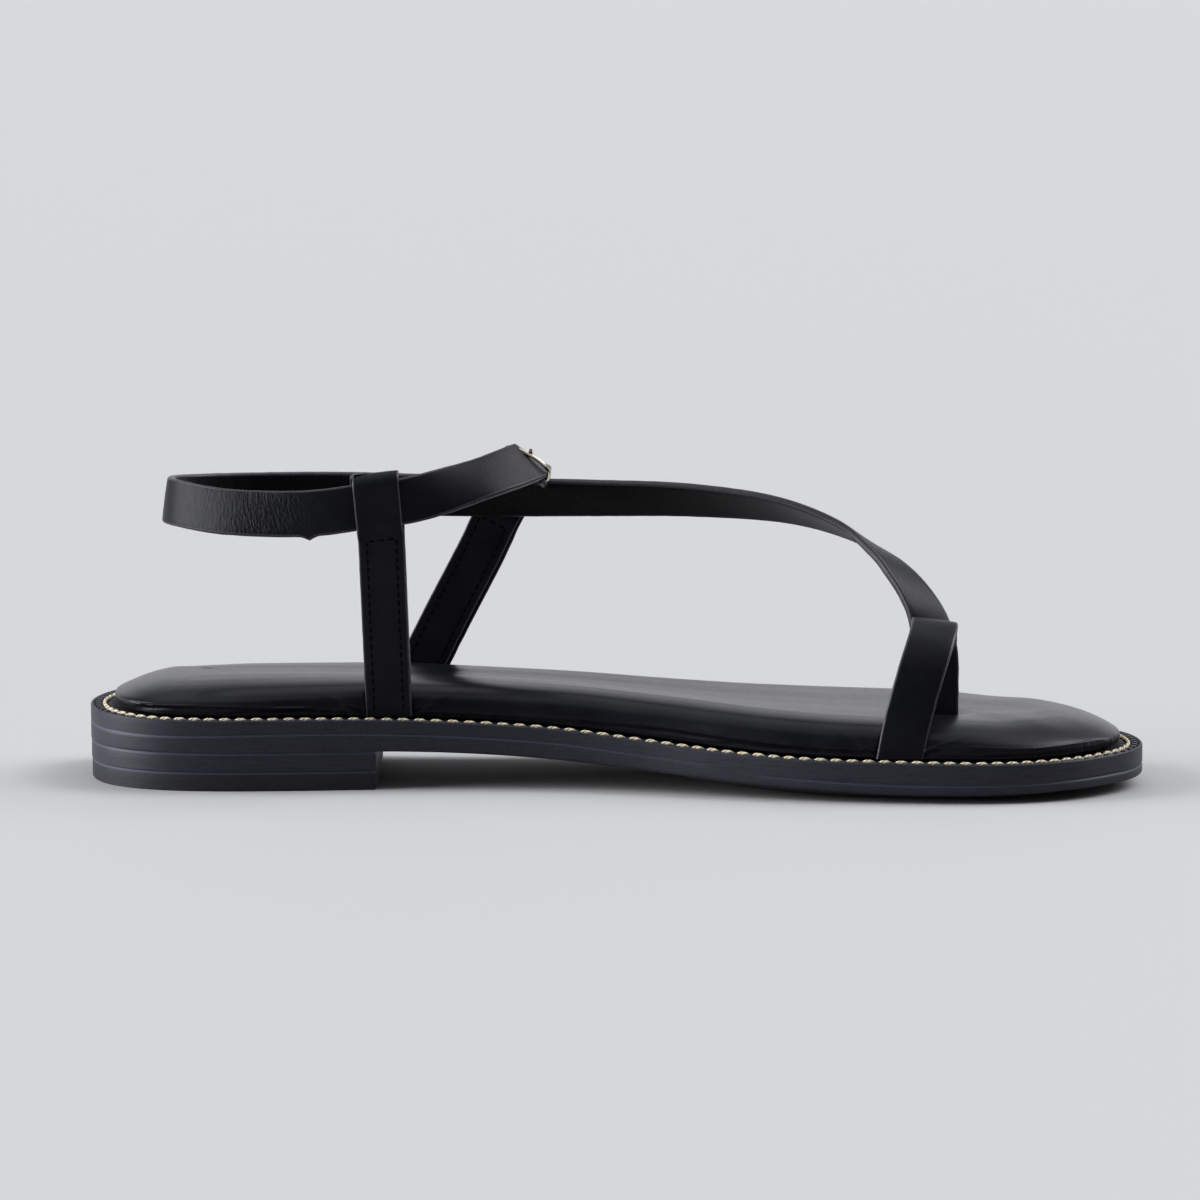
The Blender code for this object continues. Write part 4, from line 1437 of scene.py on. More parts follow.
@dataclass
class Footbed:
    """The padded footbed: a leather cover drawn tight over foam and tucked in behind the stitches."""

    sharp: float = 60.0  # in degrees
    steps: int = 1200
    profile_steps: int = 5
    gap: float = 0.3
    rim_width: float = 5.5
    under_inset: float = 12.0
    crown_inset: float = 17.0
    dish: float = 0.97
    heel_drop: float = 1.4  # the pad's top falls away this much at the heel's back
    heel_drop_span: tuple[float, float] = (4.0, 42.0)
    heel_shift: float = 0.6  # and the pad starts this much further forwards
    heel_shift_end: float = 22.0
    heel_dome: float = 2.0  # towards its edge the pad is domed
    heel_dome_width: float = 26.0
    heel_dome_span: tuple[float, float] = (30.0, 80.0)
    toe_dome: float = 3.0
    toe_dome_width: float = 22.0
    toe_dome_span: tuple[float, float] = (196.0, 236.0)
    dome_start: float = 0.15  # the side follows the top from this share of its height
    middle_pull: float = 1.5  # how much a ring's pull to the middle adds to its inset
    strap_half: float = 5.5
    dent_fade: float = 0.6
    dent_depth: float = 0.1
    fold_width: float = 0.05
    fold_wander: float = 0.035
    trough_shift: float = 1.9  # the hollow under a fold, by the fold's width
    trough_width: float = 1.2
    trough_part: float = 0.8
    fold_lift: float = 0.4  # a fold rises by this part of the way that it stands out
    pull_reach: float = 12.0  # beside a strap foot the leather is pulled into a fold this long
    pull_height: float = 0.4
    pull_fade: float = 4.0
    pull_slope: float = 0.05
    pull_edge: float = 0.8  # it sets in over this length
    pull_ridge: tuple[float, float] = (0.2, 0.06)  # height up the side, and width
    pull_trough: tuple[float, float] = (0.08, 0.07)
    pull_trough_part: float = 0.7
    slit_middle: Vector = field(default_factory=lambda: Vector((204.8, -14.5, 9.9)))
    slit_size: Vector = field(default_factory=lambda: Vector((11.7, 2.5, 40.0)))
    dimple_depth: float = 1.0
    dimple_width: float = 4.0
    dimple_overlap: float = 1.0
    dimple_span: tuple[float, float] = (12.0, 15.0)  # heights between which it sets in
    pleat_mm: float = 1.6
    pleat_depth: float = 0.3
    pleat_toe: tuple[float, float] = (228.0, 248.0)
    pleat_heel: tuple[float, float] = (20.0, 6.0)
    pleat_heel_part: float = 0.12
    pleat_width: float = 0.16
    swell_depth: float = 0.12
    gather_level: float = 0.2  # pleats and wrinkles are deepest at this share of the side's height
    gather_width: float = 0.2
    gather_least: float = 0.12
    gather_more: float = 0.7
    gather_toe: tuple[float, float] = (215.0, 240.0)
    gather_heel: tuple[float, float] = (26.0, 8.0)
    gather_heel_part: float = 0.5
    profile: tuple[tuple[float, float], ...] = (
        (6.5, 0.0), (0.9, 0.0), (0.15, 0.1), (0.0, 0.28), (0.25, 0.46), (1.0, 0.63), (2.3, 0.77),
        (4.4, 0.885), (7.5, 0.96), (11.5, 1.0),
    )

    def build(self, finishes: Finishes) -> None:
        """Make the footbed with the slit of the toe post.

        Args:
            finishes: The sandal's finishes.
        """
        slit = slot_tool(self.slit_middle, self.slit_size, FORWARDS, UPWARDS)
        mesh = cut_holes(self.cover(), [slit])
        made = add_piece("footbed_cover", mesh, [finishes.footbed], Slot.FOOTBED, ["footbed"], self.sharp)

    def cover(self) -> bmesh.types.BMesh:
        """Make the leather cover, with its folds, pleats and the dents of the straps.

        Returns:
            Its mesh, in millimetres.
        """
        stations = Outline.of_sole().walk(self.steps)
        steps = curve(self.profile, self.profile_steps)

        def lift(share: float) -> Level:
            """Return the level that is a share of the way up the footbed's side."""
            return lambda station: station.section.rim + self.gap + (station.section.pad - self.gap) * share

        def worn(share: float) -> Level:
            """Return how much the leather is gathered at a share of the way up."""
            return lambda station: self.wrinkled(station, share)

        rings = [Ring(self.under_inset, lift(0.0))]
        for inset, share in steps:
            share = min(1.0, max(0.0, share))
            rings.append(Ring(self.rim_width + max(0.0, inset), lift(share), worn(share)))
        rings += [Ring(self.crown_inset, lift(1.0), None, middle) for middle in (0.1, 0.22, 0.36, 0.5)]
        rings += [Ring(self.crown_inset, lift(self.dish), None, middle) for middle in (0.7, 0.85, 1.0)]
        shares = [0.0, *(share for _, share in steps)]

        def relief(place: Vector, station: Station, row: int) -> Vector:
            """Give a point of the cover its folds, the domes of heel and toe and the dents.

            Args:
                place: The point.
                station: Its station on the outline.
                row: The number of its ring.

            Returns:
                The point's new place.
            """
            share = shares[row] if row < len(shares) else 1.0
            if 0 < row < len(shares):
                place += Vector((*(-station.inward), self.fold_lift)) * self.fold(station, share)
            within = (rings[row].inset - self.rim_width) * (1 + self.middle_pull * rings[row].middle)
            drop = self.heel_drop * (1 - ramp(place.x, *self.heel_drop_span))
            for dome, width, part in (
                (self.heel_dome, self.heel_dome_width, 1 - ramp(place.x, *self.heel_dome_span)),
                (self.toe_dome, self.toe_dome_width, ramp(place.x, *self.toe_dome_span)),
            ):
                drop += dome * max(0.0, 1 - within / width) ** 2 * part
            place.z -= drop * ramp(share, self.dome_start, 1.0)
            place.x += self.heel_shift * (1 - ramp(place.x, 0.0, self.heel_shift_end))
            return self.dimpled(self.pressed(place))

        return ring_mesh(stations, rings, self.crown_inset, relief)

    def wrinkled(self, station: Station, share: float) -> float:
        """Measure how much the leather is gathered, most of all low down at the toe and the heel.

        Args:
            station: The place along the outline.
            share: The height up the footbed's side, from 0 to 1.

        Returns:
            The amount, from 0 to 1.
        """
        x = station.section.x
        ends = max(ramp(x, *self.gather_toe), self.gather_heel_part * ramp(x, *self.gather_heel))
        low = bump(share - self.gather_level, self.gather_width)
        return (self.gather_least + self.gather_more * ends) * low

    def fold(self, station: Station, share: float) -> float:
        """Measure how far folds and pleats move the cover outwards.

        Args:
            station: The place along the outline.
            share: The height up the footbed's side, from 0 to 1.

        Returns:
            A distance in millimetres.
        """
        x = station.section.x
        side = 1.0 if station.inward.y < 0 else -1.0
        moved = sum(self.crease(crease, x, share) for crease in CREASES
                    if crease.side == side and crease.start < x < crease.end)
        moved += sum(self.pull(abs(x - press.x) - self.strap_half, share) for press in PRESSES
                     if press.side == side)
        ends = max(ramp(x, *self.pleat_toe), self.pleat_heel_part * ramp(x, *self.pleat_heel))
        low = bump(share - self.gather_level, self.pleat_width)
        pleats = noise.noise(Vector((station.along / self.pleat_mm, share, 3.0)))
        moved += self.pleat_depth * ends * low * pleats
        moved += self.swell_depth * noise.noise(Vector((station.along * 0.12, share * 3.0, 9.0))) * low
        return moved

    def crease(self, crease: Crease, x: float, share: float) -> float:
        """Measure how far one fold along the side moves the cover outwards.

        Args:
            crease: The fold.
            x: The place along the sole.
            share: The height up the footbed's side, from 0 to 1.

        Returns:
            A distance in millimetres.
        """
        t = (x - crease.start) / (crease.end - crease.start)
        fade = ramp(t, 0.0, 0.25) * ramp(t, 1.0, 0.75)
        level = crease.low + (crease.high - crease.low) * t
        level += self.fold_wander * noise.noise(Vector((x * 0.13, crease.side * 7.0, crease.start)))
        ridge = bump(share - level, self.fold_width)
        below = share - level + self.trough_shift * self.fold_width
        trough = bump(below, self.trough_width * self.fold_width)
        return crease.height * fade * (ridge - self.trough_part * trough)

    def pull(self, away: float, share: float) -> float:
        """Measure how far the fold beside a strap foot moves the cover outwards.

        Args:
            away: The distance from the strap's edge.
            share: The height up the footbed's side, from 0 to 1.

        Returns:
            A distance in millimetres.
        """
        if not 0 < away < self.pull_reach:
            return 0.0
        level = share - self.pull_slope * away
        ridge = bump(level - self.pull_ridge[0], self.pull_ridge[1])
        trough = bump(level - self.pull_trough[0], self.pull_trough[1])
        fade = math.exp(-away / self.pull_fade) * smooth(away / self.pull_edge)
        return self.pull_height * fade * (ridge - self.pull_trough_part * trough)

    def pressed(self, place: Vector) -> Vector:
        """Move a point of the cover inwards where a strap foot lies against it.

        Args:
            place: The point.

        Returns:
            The point's new place.
        """
        for press in PRESSES:
            rise = place.z - press.z
            beyond = abs(place.x - press.x - press.lean_x * rise) - self.strap_half + self.dent_fade
            face = press.y + press.lean_y * rise - press.side * self.dent_depth
            over = (place.y - face) * press.side
            if over > 0 and beyond < self.dent_fade:
                place.y -= press.side * over * (1 - smooth(beyond / self.dent_fade))
        return place

    def dimpled(self, place: Vector) -> Vector:
        """Sink a point of the cover a little where it lies near the toe post's slit.

        Args:
            place: The point.

        Returns:
            The point's new place.
        """
        away_x = max(0.0, abs(place.x - self.slit_middle.x) - self.slit_size.x / 2 + self.dimple_overlap)
        away = math.hypot(away_x, place.y - self.slit_middle.y)
        height = ramp(place.z, *self.dimple_span)
        place.z -= self.dimple_depth * bump(away, self.dimple_width) * height
        return place


# Straps


class StrapFrame(NamedTuple):
    """The place and the three ways of a strap at one point of its length."""

    middle: Vector
    along: Vector
    across: Vector
    outer: Vector


class StrapEnd(Enum):
    """How a strap's last end is cut."""

    SQUARE = "square"
    ROUND = "round"
    CORNERS = "corners"


class Bend(NamedTuple):
    """A stretch of a strap that is wrinkled by wear: its middle, half its length and how much."""

    middle: float
    half: float
    amount: float


@dataclass
class Strap:
    """A strap along its rows, with rounded and inked edges."""

    rows: Sequence[Fold]
    width: float = 11.0
    thickness: float = 1.8
    outer_side: float = -1.0  # which way the grain faces, seen along the strap
    end: StrapEnd = StrapEnd.SQUARE
    level_end: bool = False  # the first end is always cut level
    corner_radius: float = 2.0
    edge_round: float = 0.5
    edge_wander: float = 0.012  # the cut edges wander by this part of the width
    crown: float = 0.1  # the grain's middle stands this much above its edges
    face_spans: int = 10
    step: float = 1.0
    tangent_steps: int = 3  # the strap's way is taken over this many steps of its curve on either side
    wear: float = 0.05
    bends: Sequence[Bend] = ()
    burr: float | None = None  # a small lip that the cutting left on the front edge, by length from the start
    burr_height: float = 0.9
    burr_half: float = 1.1
    burr_width: float = 0.8

    def __post_init__(self) -> None:
        """Measure the strap."""
        self.dense = [Fold(*row) for row in curve(self.rows, SPAN_STEPS)]
        self.points = [Vector(row[:3]) for row in self.dense]
        self.reach = running_length(self.points)
        self.length = self.reach[-1]

    def at(self, along: float) -> StrapFrame:
        """Find the strap's place and ways at one point of its length.

        Args:
            along: The length from its start.

        Returns:
            The strap's frame there.
        """
        i, t = locate(self.reach, along)
        a, b = self.dense[i], self.dense[i + 1]
        middle = self.points[i].lerp(self.points[i + 1], t)
        low = max(i - self.tangent_steps, 0)
        high = min(i + 1 + self.tangent_steps, len(self.points) - 1)
        way = (self.points[high] - self.points[low]).normalized()
        across = Vector(a[3:]).lerp(Vector(b[3:]), t)
        across = (across - way * across.dot(way)).normalized()
        return StrapFrame(middle, way, across, way.cross(across) * self.outer_side)

    def reach_of_row(self, row: int) -> float:
        """Return the length from the strap's start to one of its rows."""
        return self.reach[row * SPAN_STEPS]

    def half_width(self, along: float) -> float:
        """Measure half the strap's width, which narrows at a round end.

        Args:
            along: The length from its start.

        Returns:
            Half the width there.
        """
        half = self.width / 2
        radii = {StrapEnd.SQUARE: 0.0, StrapEnd.ROUND: half, StrapEnd.CORNERS: self.corner_radius}
        radius = radii[self.end]
        into = along - (self.length - radius)
        if into <= 0 or radius == 0:
            return half
        blunt = 0.05  # keeps the end from closing to a point
        return half - radius + math.sqrt(max(radius ** 2 - into ** 2, blunt))

    def profile(self, half: float) -> list[tuple[float, float, Face]]:
        """Draw the strap's cross-section.

        Args:
            half: Half the strap's width.

        Returns:
            Its points across and outwards, each with the face that starts there.
        """
        thin, soft, spans = self.thickness / 2, self.edge_round, self.face_spans
        points = []

        def corner(sx: float, sy: float, first: int) -> None:
            """Round one corner.

            Args:
                sx: Its side across the strap, -1 or 1.
                sy: Its side through the strap, -1 or 1.
                first: The direction that its first point faces, in degrees.
            """
            for k in range(4):
                turn = math.radians(first + 30 * k)
                points.append((sx * (half - soft) + soft * math.cos(turn),
                               sy * (thin - soft) + soft * math.sin(turn), Face.EDGE))

        for k in range(1, spans):
            a = (half - soft) * (1 - 2 * k / spans)
            points.append((a, thin + self.crown * (1 - (a / half) ** 2), Face.GRAIN))
        corner(-1, 1, 90)
        corner(-1, -1, 180)
        for k in range(1, spans):
            a = (half - soft) * (2 * k / spans - 1)
            points.append((a, -thin, Face.FLESH))
        corner(1, -1, 270)
        corner(1, 1, 0)
        return points

    def worn(self, along: float) -> float:
        """Return how wrinkled the strap is at a length from its start."""
        parts = [bend.amount * bump(along - bend.middle, bend.half) for bend in self.bends]
        return self.wear + max(parts, default=0.0)

    def mesh(self) -> bmesh.types.BMesh:
        """Make the strap.

        Returns:
            Its mesh, in millimetres.
        """
        count = max(8, round(self.length / self.step))
        stops = [self.length * k / count for k in range(count + 1)]
        if self.end is not StrapEnd.SQUARE:
            stops[-1:] = [self.length - left for left in (0.7, 0.35, 0.12, 0.01)]
        frames = [self.at(stop) for stop in stops]
        profiles = [self.profile(self.half_width(stop)) for stop in stops]
        around = len(profiles[0])

        def spot(column: int, row: int) -> Spot:
            """Place one point of the strap.

            Args:
                column: Its number round the cross-section.
                row: Its number along the strap.

            Returns:
                The point.
            """
            shape, (a, b, _) = frames[row], profiles[row][column % around]
            wander = noise.noise(Vector((stops[row] * 0.35, math.copysign(5.0, a), 1.0)))
            place = shape.middle + shape.across * a * (1.0 + self.edge_wander * wander) + shape.outer * b
            if self.burr is not None and a > self.width / 2 - self.burr_width:
                place += shape.across * self.burr_height * bump(stops[row] - self.burr, self.burr_half)
            if row == 0 or (self.level_end and row == len(stops) - 1):
                place += shape.along * ((shape.middle.z - place.z) / shape.along.z)
            return Spot(place, a, stops[row], self.worn(stops[row]))

        faces = [point[2] for point in profiles[0]]

        def paint(column: int, row: int) -> int:
            """Choose the finish of one face: the edge's only where it touches neither grain nor flesh side.

            Args:
                column: Its number round the cross-section.
                row: Its number along the strap.

            Returns:
                The number of its material.
            """
            pair = {faces[column % around], faces[(column + 1) % around]}
            if Face.GRAIN in pair:
                return Face.GRAIN
            return Face.FLESH if Face.FLESH in pair else Face.EDGE

        return wrap_grid(around, len(stops) - 1, spot, paint)


@dataclass
class Seam:
    """Rows of small stitches along and across a strap."""

    strap: Strap
    pitch: float = 2.1
    stitch: Stitch = Stitch(length=1.6, radius=0.26, arch=0.05, sink=0.2)
    places: list[Matrix] = field(default_factory=list)

    def line(self, start: float, end: float, across: float) -> None:
        """Add stitches along the strap.

        Args:
            start: Where the row starts, as a length from the strap's start.
            end: Where it ends.
            across: How far from the strap's middle it runs.
        """
        count = max(1, round((end - start) / self.pitch))
        for k in range(count):
            shape = self.strap.at(start + (end - start) * (k + 0.5) / count)
            self.add(shape, shape.across * across, shape.along)

    def bar(self, along: float, reach: float) -> None:
        """Add stitches across the strap.

        Args:
            along: Where they lie, as a length from the strap's start.
            reach: How far they go on both sides of the strap's middle.
        """
        count = max(1, round(2 * reach / self.pitch))
        shape = self.strap.at(along)
        for k in range(count):
            self.add(shape, shape.across * (reach * (2 * (k + 0.5) / count - 1)), shape.across)

    def add(self, shape: StrapFrame, offset: Vector, way: Vector) -> None:
        """Add one stitch on the grain."""
        centre = shape.middle + offset + shape.outer * (self.strap.thickness / 2)
        self.places.append(lay(centre, way, shape.outer))


@dataclass
class Upper:
    """The straps: the long strap, the toe strap, both posts and the stitching that holds them."""

    ply: float = 1.35
    ply_gap: float = 0.2
    ply_shift: float = 0.45  # the lateral post's plies lie this much to either side
    post_foot: Vector = field(default_factory=lambda: Vector((75.05, -21.9, 17.0)))
    post_top: Vector = field(default_factory=lambda: Vector((73.75, -26.0, 59.6)))
    loop_middle: Vector = field(default_factory=lambda: Vector((73.45, -26.25, 68.1)))
    loop_lean: float = 0.8  # the loop's top leans back this much
    loop_curl: float = 1.2  # and its inner ply this much more
    loop_rise: float = 0.15
    loop_yaw: float = 0.1
    loop_half_width: float = 2.45  # middle of the leather, from the strap's middle
    loop_half_height: float = 6.9
    hole_radius: float = 1.1
    hole_pitch: float = 9.0
    spare_holes: int = 3
    seam_inset: float = 2.0
    seam_start: float = 1.5
    seam_ends: tuple[float, float] = (43.2, 46.5)  # on the medial and on the lateral post
    ply_round: float = 0.4
    ply_crown: float = 0.05
    ply_join: float = 20.0  # the lateral post's plies come together over this length
    bar_clear: float = 1.1  # from the middle of the buckle's far bar to the leather round it
    bar_slot: tuple[float, float, float] = (2.6, 9.6, 8.0)  # lets the prong through
    bar_slot_back: float = 2.0
    yaw_span: tuple[float, float] = (45.0, 62.0)  # heights on the medial post
    lean_span: tuple[float, float] = (58.0, 76.0)
    curl_span: tuple[float, float] = (66.0, 75.0)
    loop_neck: float = 0.94  # width of the loop where it opens, as a part of the whole
    loop_neck_drop: float = 1.2
    # Where the long strap is worn: a row of it, the length beyond that, half the bend's length, its amount.
    worn_rows: tuple[tuple[int, float, float, float], ...] = (
        (18, 9.0, 10.0, 1.0), (17, 8.0, 6.0, 0.3), (22, 0.0, 9.0, 0.06),
    )
    burr_row: tuple[int, float] = (19, 0.3)  # a row of the long strap and the length beyond it

    def build(self, finishes: Finishes) -> None:
        """Make the straps and their stitches.

        Args:
            finishes: The sandal's finishes.
        """
        long_strap = Strap(LONG_STRAP, end=StrapEnd.ROUND)
        reach = long_strap.reach_of_row
        long_strap.bends = [Bend(reach(row) + beyond, *size) for row, beyond, *size in self.worn_rows]
        long_strap.burr = reach(self.burr_row[0]) + self.burr_row[1]
        punches = []
        for k in range(self.spare_holes + 1):
            shape = long_strap.at(reach(PRONG_HOLE_ROW) + k * self.hole_pitch)
            punches.append(punch_tool(shape.middle, self.hole_radius, shape.outer))
        mesh = cut_holes(long_strap.mesh(), punches)
        add_piece("strap_long", mesh, finishes.strap_set, Slot.STRAP, ["upper"])
        toe = Strap(TOE_STRAP, end=StrapEnd.CORNERS)
        add_piece("strap_toe", toe.mesh(), finishes.strap_set, Slot.STRAP)
        medial = self.medial_post()
        add_piece("post_medial", medial.mesh(), finishes.strap_set, Slot.STRAP, ["medial_post"])
        lateral = self.lateral_post()
        middle = FAR_BAR - FRAME_ALONG * self.bar_slot_back
        slot = slot_tool(middle, Vector(self.bar_slot), BAR_DIRECTION, FRAME_UP)
        add_piece("post_lateral", cut_holes(lateral.mesh(), [slot]), finishes.strap_set, Slot.STRAP)
        seam = bmesh.new()
        for post, end in zip((medial, lateral), self.seam_ends):
            self.sew_post(seam, post, self.seam_start, end)
        add_piece("post_stitching", seam, [finishes.black_thread], Slot.STRAP)

    def sew_post(self, mesh: bmesh.types.BMesh, post: Strap, start: float, end: float) -> None:
        """Add two rows and a cross row to both faces of a folded post.

        Args:
            mesh: The mesh that takes the stitches.
            post: The post.
            start: Where the rows start, as a length from the post's foot.
            end: Where they end.
        """
        seam = Seam(post)
        inset = post.width / 2 - self.seam_inset
        whole = post.length
        for low, high, cross in ((start, end, end), (whole - end, whole - start, whole - end)):
            for across in (-inset, inset):
                seam.line(low, high, across)
            seam.bar(cross, inset)
        seam.stitch.sew(mesh, seam.places)

    def medial_post(self) -> Strap:
        """Lay out the medial post: one strip that goes up, round the long strap and down again.

        Returns:
            The post.
        """
        apart = (self.ply + self.ply_gap) / 2
        lean = (self.loop_middle.x - self.post_foot.x) / (self.loop_middle.z - self.post_foot.z)
        sides = [self.post_foot.lerp(self.post_top, share) for share in (0.0, 0.2, 0.4, 0.6, 0.8, 0.93, 1.0)]
        up = [(point.y - apart, point.z) for point in sides]
        down = [(point.y + apart, point.z) for point in reversed(sides)]
        wide, tall = self.loop_half_width, self.loop_half_height - self.loop_half_width
        middle = self.loop_middle
        neck, mouth = self.loop_neck * wide, middle.z - tall - self.loop_neck_drop
        loop = [(middle.y - neck, mouth), (middle.y - wide, middle.z - tall)]
        for degrees in range(180, -1, -30):
            turn = math.radians(degrees)
            loop.append((middle.y + wide * math.cos(turn), middle.z + tall + wide * math.sin(turn)))
        loop += [(middle.y + wide, middle.z - tall), (middle.y + neck, mouth)]
        rows = []
        for y, z in (*up, *loop, *down):
            share = ramp(z, *self.yaw_span)
            x = self.post_foot.x + lean * (z - self.post_foot.z)
            x -= self.loop_lean * ramp(z, *self.lean_span)
            x -= self.loop_curl * ramp(z, *self.curl_span) * smooth((y - middle.y) / wide)
            rows.append(Fold(x, y, z, 1.0, self.loop_yaw * share, self.loop_rise * share))
        return self.folded(rows, -1.0)

    def lateral_post(self) -> Strap:
        """Lay out the lateral post: one strip that goes up, round the buckle's far bar and down again.

        Returns:
            The post.
        """
        apart = (self.ply + self.ply_gap) / 2
        middle = Strap(LATERAL_POST, outer_side=1.0)
        stops = [middle.reach_of_row(row) for row in range(len(LATERAL_POST))]
        ups, downs = [], []
        for stop in stops:
            shape = middle.at(stop)
            shift = shape.across * self.ply_shift * smooth((stops[-1] - stop) / self.ply_join)
            ups.append((shape.middle + shape.outer * apart + shift, shape.across))
            downs.append((shape.middle - shape.outer * apart - shift, shape.across))
        around = self.bar_clear + self.ply / 2
        wrap = []
        for degrees in (60, 90, 120):
            turn = math.radians(degrees)
            place = FAR_BAR + (FRAME_UP * math.cos(turn) - FRAME_ALONG * math.sin(turn)) * around
            wrap.append((place, BAR_DIRECTION))
        rows = [Fold(*place, *across) for place, across in (*ups, *wrap, *reversed(downs))]
        return self.folded(rows, 1.0)

    def folded(self, rows: Sequence[Fold], outer_side: float) -> Strap:
        """Return a thin strip that is cut level at both feet."""
        return Strap(rows, thickness=self.ply, outer_side=outer_side, level_end=True,
                     edge_round=self.ply_round, crown=self.ply_crown)


# Buckle


@dataclass
class Buckle:
    """The small buckle at the front of the ankle: a wire frame and its prong."""

    wire_radius: float = 0.48
    flatness: float = 0.9
    frame_width: float = 12.2
    far_corner: float = 3.0
    near_corner: float = 4.6
    prong_radius: float = 0.56
    prong_narrows: float = 0.25  # over the last quarter
    clearance: float = 0.1
    corner_steps: int = 8
    step: float = 1.0
    ring_start: float = -150.0  # the prong's ring starts here on the far bar and turns on, in degrees
    ring_turn: float = -30.0
    ring_points: int = 9
    # The prong above the strap: the part of the way to the near bar that is done, and the rise above it.
    prong_rows: tuple[tuple[float, float], ...] = (
        (0.35, 0.5), (0.6, 0.5), (0.85, 0.2), (1.0, 0.0), (1.06, -0.15),
    )
    prong_steps: int = 5

    def build(self, finishes: Finishes) -> None:
        """Make the frame and the prong.

        Args:
            finishes: The sandal's finishes.
        """
        wire = tube(self.frame_path(), lambda done: self.wire_radius, FRAME_UP, self.flatness, True)
        add_piece("buckle_wire_frame", wire, [finishes.metal], Slot.BUCKLE, ["buckle_frame"])
        prong = tube(self.prong_path(), self.prong_size, BAR_DIRECTION, 1.0, False)
        add_piece("buckle_wire_prong", prong, [finishes.metal], Slot.BUCKLE, ["buckle_prong"])

    def prong_size(self, done: float) -> float:
        """Return the prong's half width, which narrows to its tip."""
        return self.prong_radius * (1.0 - self.prong_narrows * ramp(done, 0.75, 1.0))

    def frame_path(self) -> list[Vector]:
        """Draw the frame's middle line, a rounded rectangle between its two bars.

        Returns:
            Its points in order.
        """
        middle = (NEAR_BAR + FAR_BAR) / 2
        half = Vector(((FAR_BAR - NEAR_BAR).length / 2, self.frame_width / 2))
        corners = []
        for quarter, (sx, sy) in enumerate(((1, 1), (-1, 1), (-1, -1), (1, -1))):
            radius = self.far_corner if sx > 0 else self.near_corner
            for k in range(self.corner_steps + 1):
                turn = math.radians(90 * (quarter + k / self.corner_steps))
                flat = Vector((sx * (half.x - radius), sy * (half.y - radius)))
                corners.append(flat + Vector((math.cos(turn), math.sin(turn))) * radius)
        path = []
        for a, b in zip(corners, [*corners[1:], corners[0]]):
            parts = max(1, round((b - a).length / self.step))
            path += [a.lerp(b, k / parts) for k in range(parts)]
        return [middle + FRAME_ALONG * flat.x + BAR_DIRECTION * flat.y for flat in path]

    def prong_path(self) -> list[Vector]:
        """Draw the prong's middle line: round the far bar, up through the strap and onto the near bar.

        Returns:
            Its points in order.
        """
        ring = self.wire_radius + self.clearance + self.prong_radius
        rows = []
        for k in range(self.ring_points):
            turn = math.radians(self.ring_start + self.ring_turn * k)
            rows.append(FAR_BAR + (-FRAME_ALONG * math.cos(turn) + FRAME_UP * math.sin(turn)) * ring)
        reach = (NEAR_BAR - FAR_BAR).length
        for share, rise in self.prong_rows:
            rows.append(FAR_BAR - FRAME_ALONG * reach * share + FRAME_UP * (ring + rise))
        return [Vector(row) for row in curve([tuple(row) for row in rows], self.prong_steps)]


# Studio


class SoftBox(NamedTuple):
    """A soft light: the way to it, the cosines at its outer and inner edge, and its strength."""

    way: tuple[float, float, float]
    edge: tuple[float, float]
    level: float


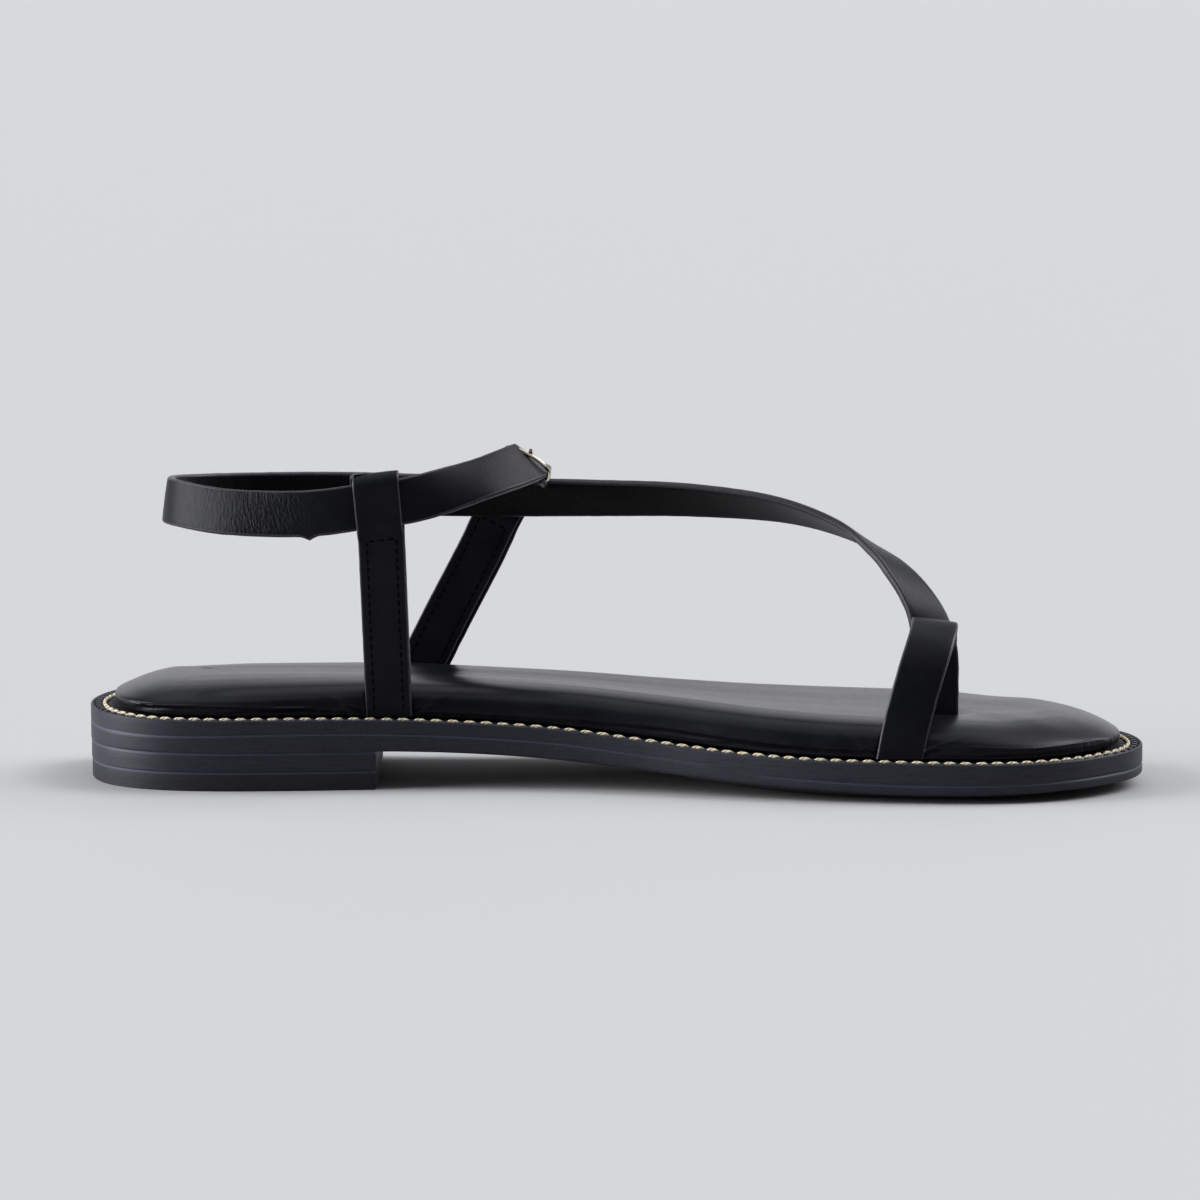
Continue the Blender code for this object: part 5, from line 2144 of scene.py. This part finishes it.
@dataclass
class Studio:
    """A plain pale floor, soft light from above and the camera."""

    azimuth: float = 3.2
    pitch: float = 6.0
    distance: float = 1.4
    focal_pixels: float = 5789.4
    image_pixels: float = 1200.0
    sensor_mm: float = 36.0
    aim: Vector = field(default_factory=lambda: Vector((0.12422, 0.0, 0.04282)))
    floor_colour: str = "#A6A6A5"
    floor_roughness: float = 0.8
    floor_gloss: float = 0.2
    floor_size: float = 300.0
    backdrop: tuple[float, float] = (0.2, 0.26)  # in front of the sandal and behind it
    boxes: tuple[SoftBox, ...] = (
        SoftBox((0.0, 1.0, 0.1), (0.7, 0.96), 0.75),
        SoftBox((0.0, 0.1, 1.0), (0.72, 0.9), 1.2),
        SoftBox((-0.97, -0.1, 0.2), (0.82, 0.96), 11.0),
        SoftBox((0.7, 0.28, 0.65), (0.9, 0.975), 7.8),
    )
    light_colour: str = "#F8F9FF"

    def build(self) -> None:
        """Set up camera, floor and lights."""
        self.camera()
        self.floor()
        self.light()
        bpy.context.scene.view_settings.view_transform = "Standard"

    def camera(self) -> None:
        """Place the camera at the side of the big toe, a little above the sandal."""
        turn, pitch = math.radians(self.azimuth), math.radians(self.pitch)
        back = Vector((math.sin(turn) * math.cos(pitch), -math.cos(turn) * math.cos(pitch), math.sin(pitch)))
        data = bpy.data.cameras.new("camera")
        data.sensor_width = self.sensor_mm
        data.lens = self.focal_pixels / self.image_pixels * self.sensor_mm
        data.clip_start = 0.01
        camera = scene_object("camera", data)
        camera.location = self.aim + HEEL_BACK + back * self.distance
        camera.rotation_euler = (-back).to_track_quat("-Z", "Y").to_euler()
        bpy.context.scene.camera = camera

    def floor(self) -> None:
        """Lay the pale floor, wide enough to reach the horizon."""
        mesh = bmesh.new()
        bmesh.ops.create_grid(mesh, x_segments=1, y_segments=1, size=self.floor_size)
        data = mesh_data("floor", mesh)
        material, tree, shader = new_material("pale_paper")
        feed(tree, shader, {
            "Base Color": linear(self.floor_colour), "Roughness": self.floor_roughness,
            "Specular IOR Level": self.floor_gloss})
        data.materials.append(material)
        floor = scene_object("floor", data)

    def light(self) -> None:
        """Light the sandal from soft boxes overhead and at its ends, in front of an even backdrop."""
        world = bpy.data.worlds.new("studio")
        world.use_nodes = True
        tree = world.node_tree
        way = add_node(tree, "ShaderNodeTexCoord").outputs["Generated"]
        parts = add_node(tree, "ShaderNodeSeparateXYZ", inputs={"Vector": way})
        strength = add_node(tree, "ShaderNodeMapRange", inputs={
            "Value": parts.outputs["Y"], "From Min": -1.0, "From Max": 1.0,
            "To Min": self.backdrop[0], "To Max": self.backdrop[1]}).outputs[0]
        for box in self.boxes:
            facing = add_node(tree, "ShaderNodeVectorMath", {"operation": "DOT_PRODUCT"}, {
                0: way, 1: Vector(box.way).normalized()})
            glow = add_node(tree, "ShaderNodeMapRange", {"interpolation_type": "SMOOTHSTEP"}, {
                "Value": facing.outputs["Value"], "From Min": box.edge[0], "From Max": box.edge[1],
                "To Min": 0.0, "To Max": box.level})
            strength = add_node(tree, "ShaderNodeMath", {"operation": "ADD"}, {
                0: strength, 1: glow.outputs["Result"]}).outputs[0]
        feed(tree, tree.nodes["Background"], {"Color": linear(self.light_colour), "Strength": strength})
        bpy.context.scene.world = world


def main() -> None:
    """Dress the sandal."""
    logging.basicConfig(level=logging.INFO, format="%(name)s %(message)s")
    Studio().build()
    finishes = Finishes()
    for part in (Sole(), Footbed(), Upper(), Buckle()):
        part.build(finishes)


if __name__ == "__main__":
    main()
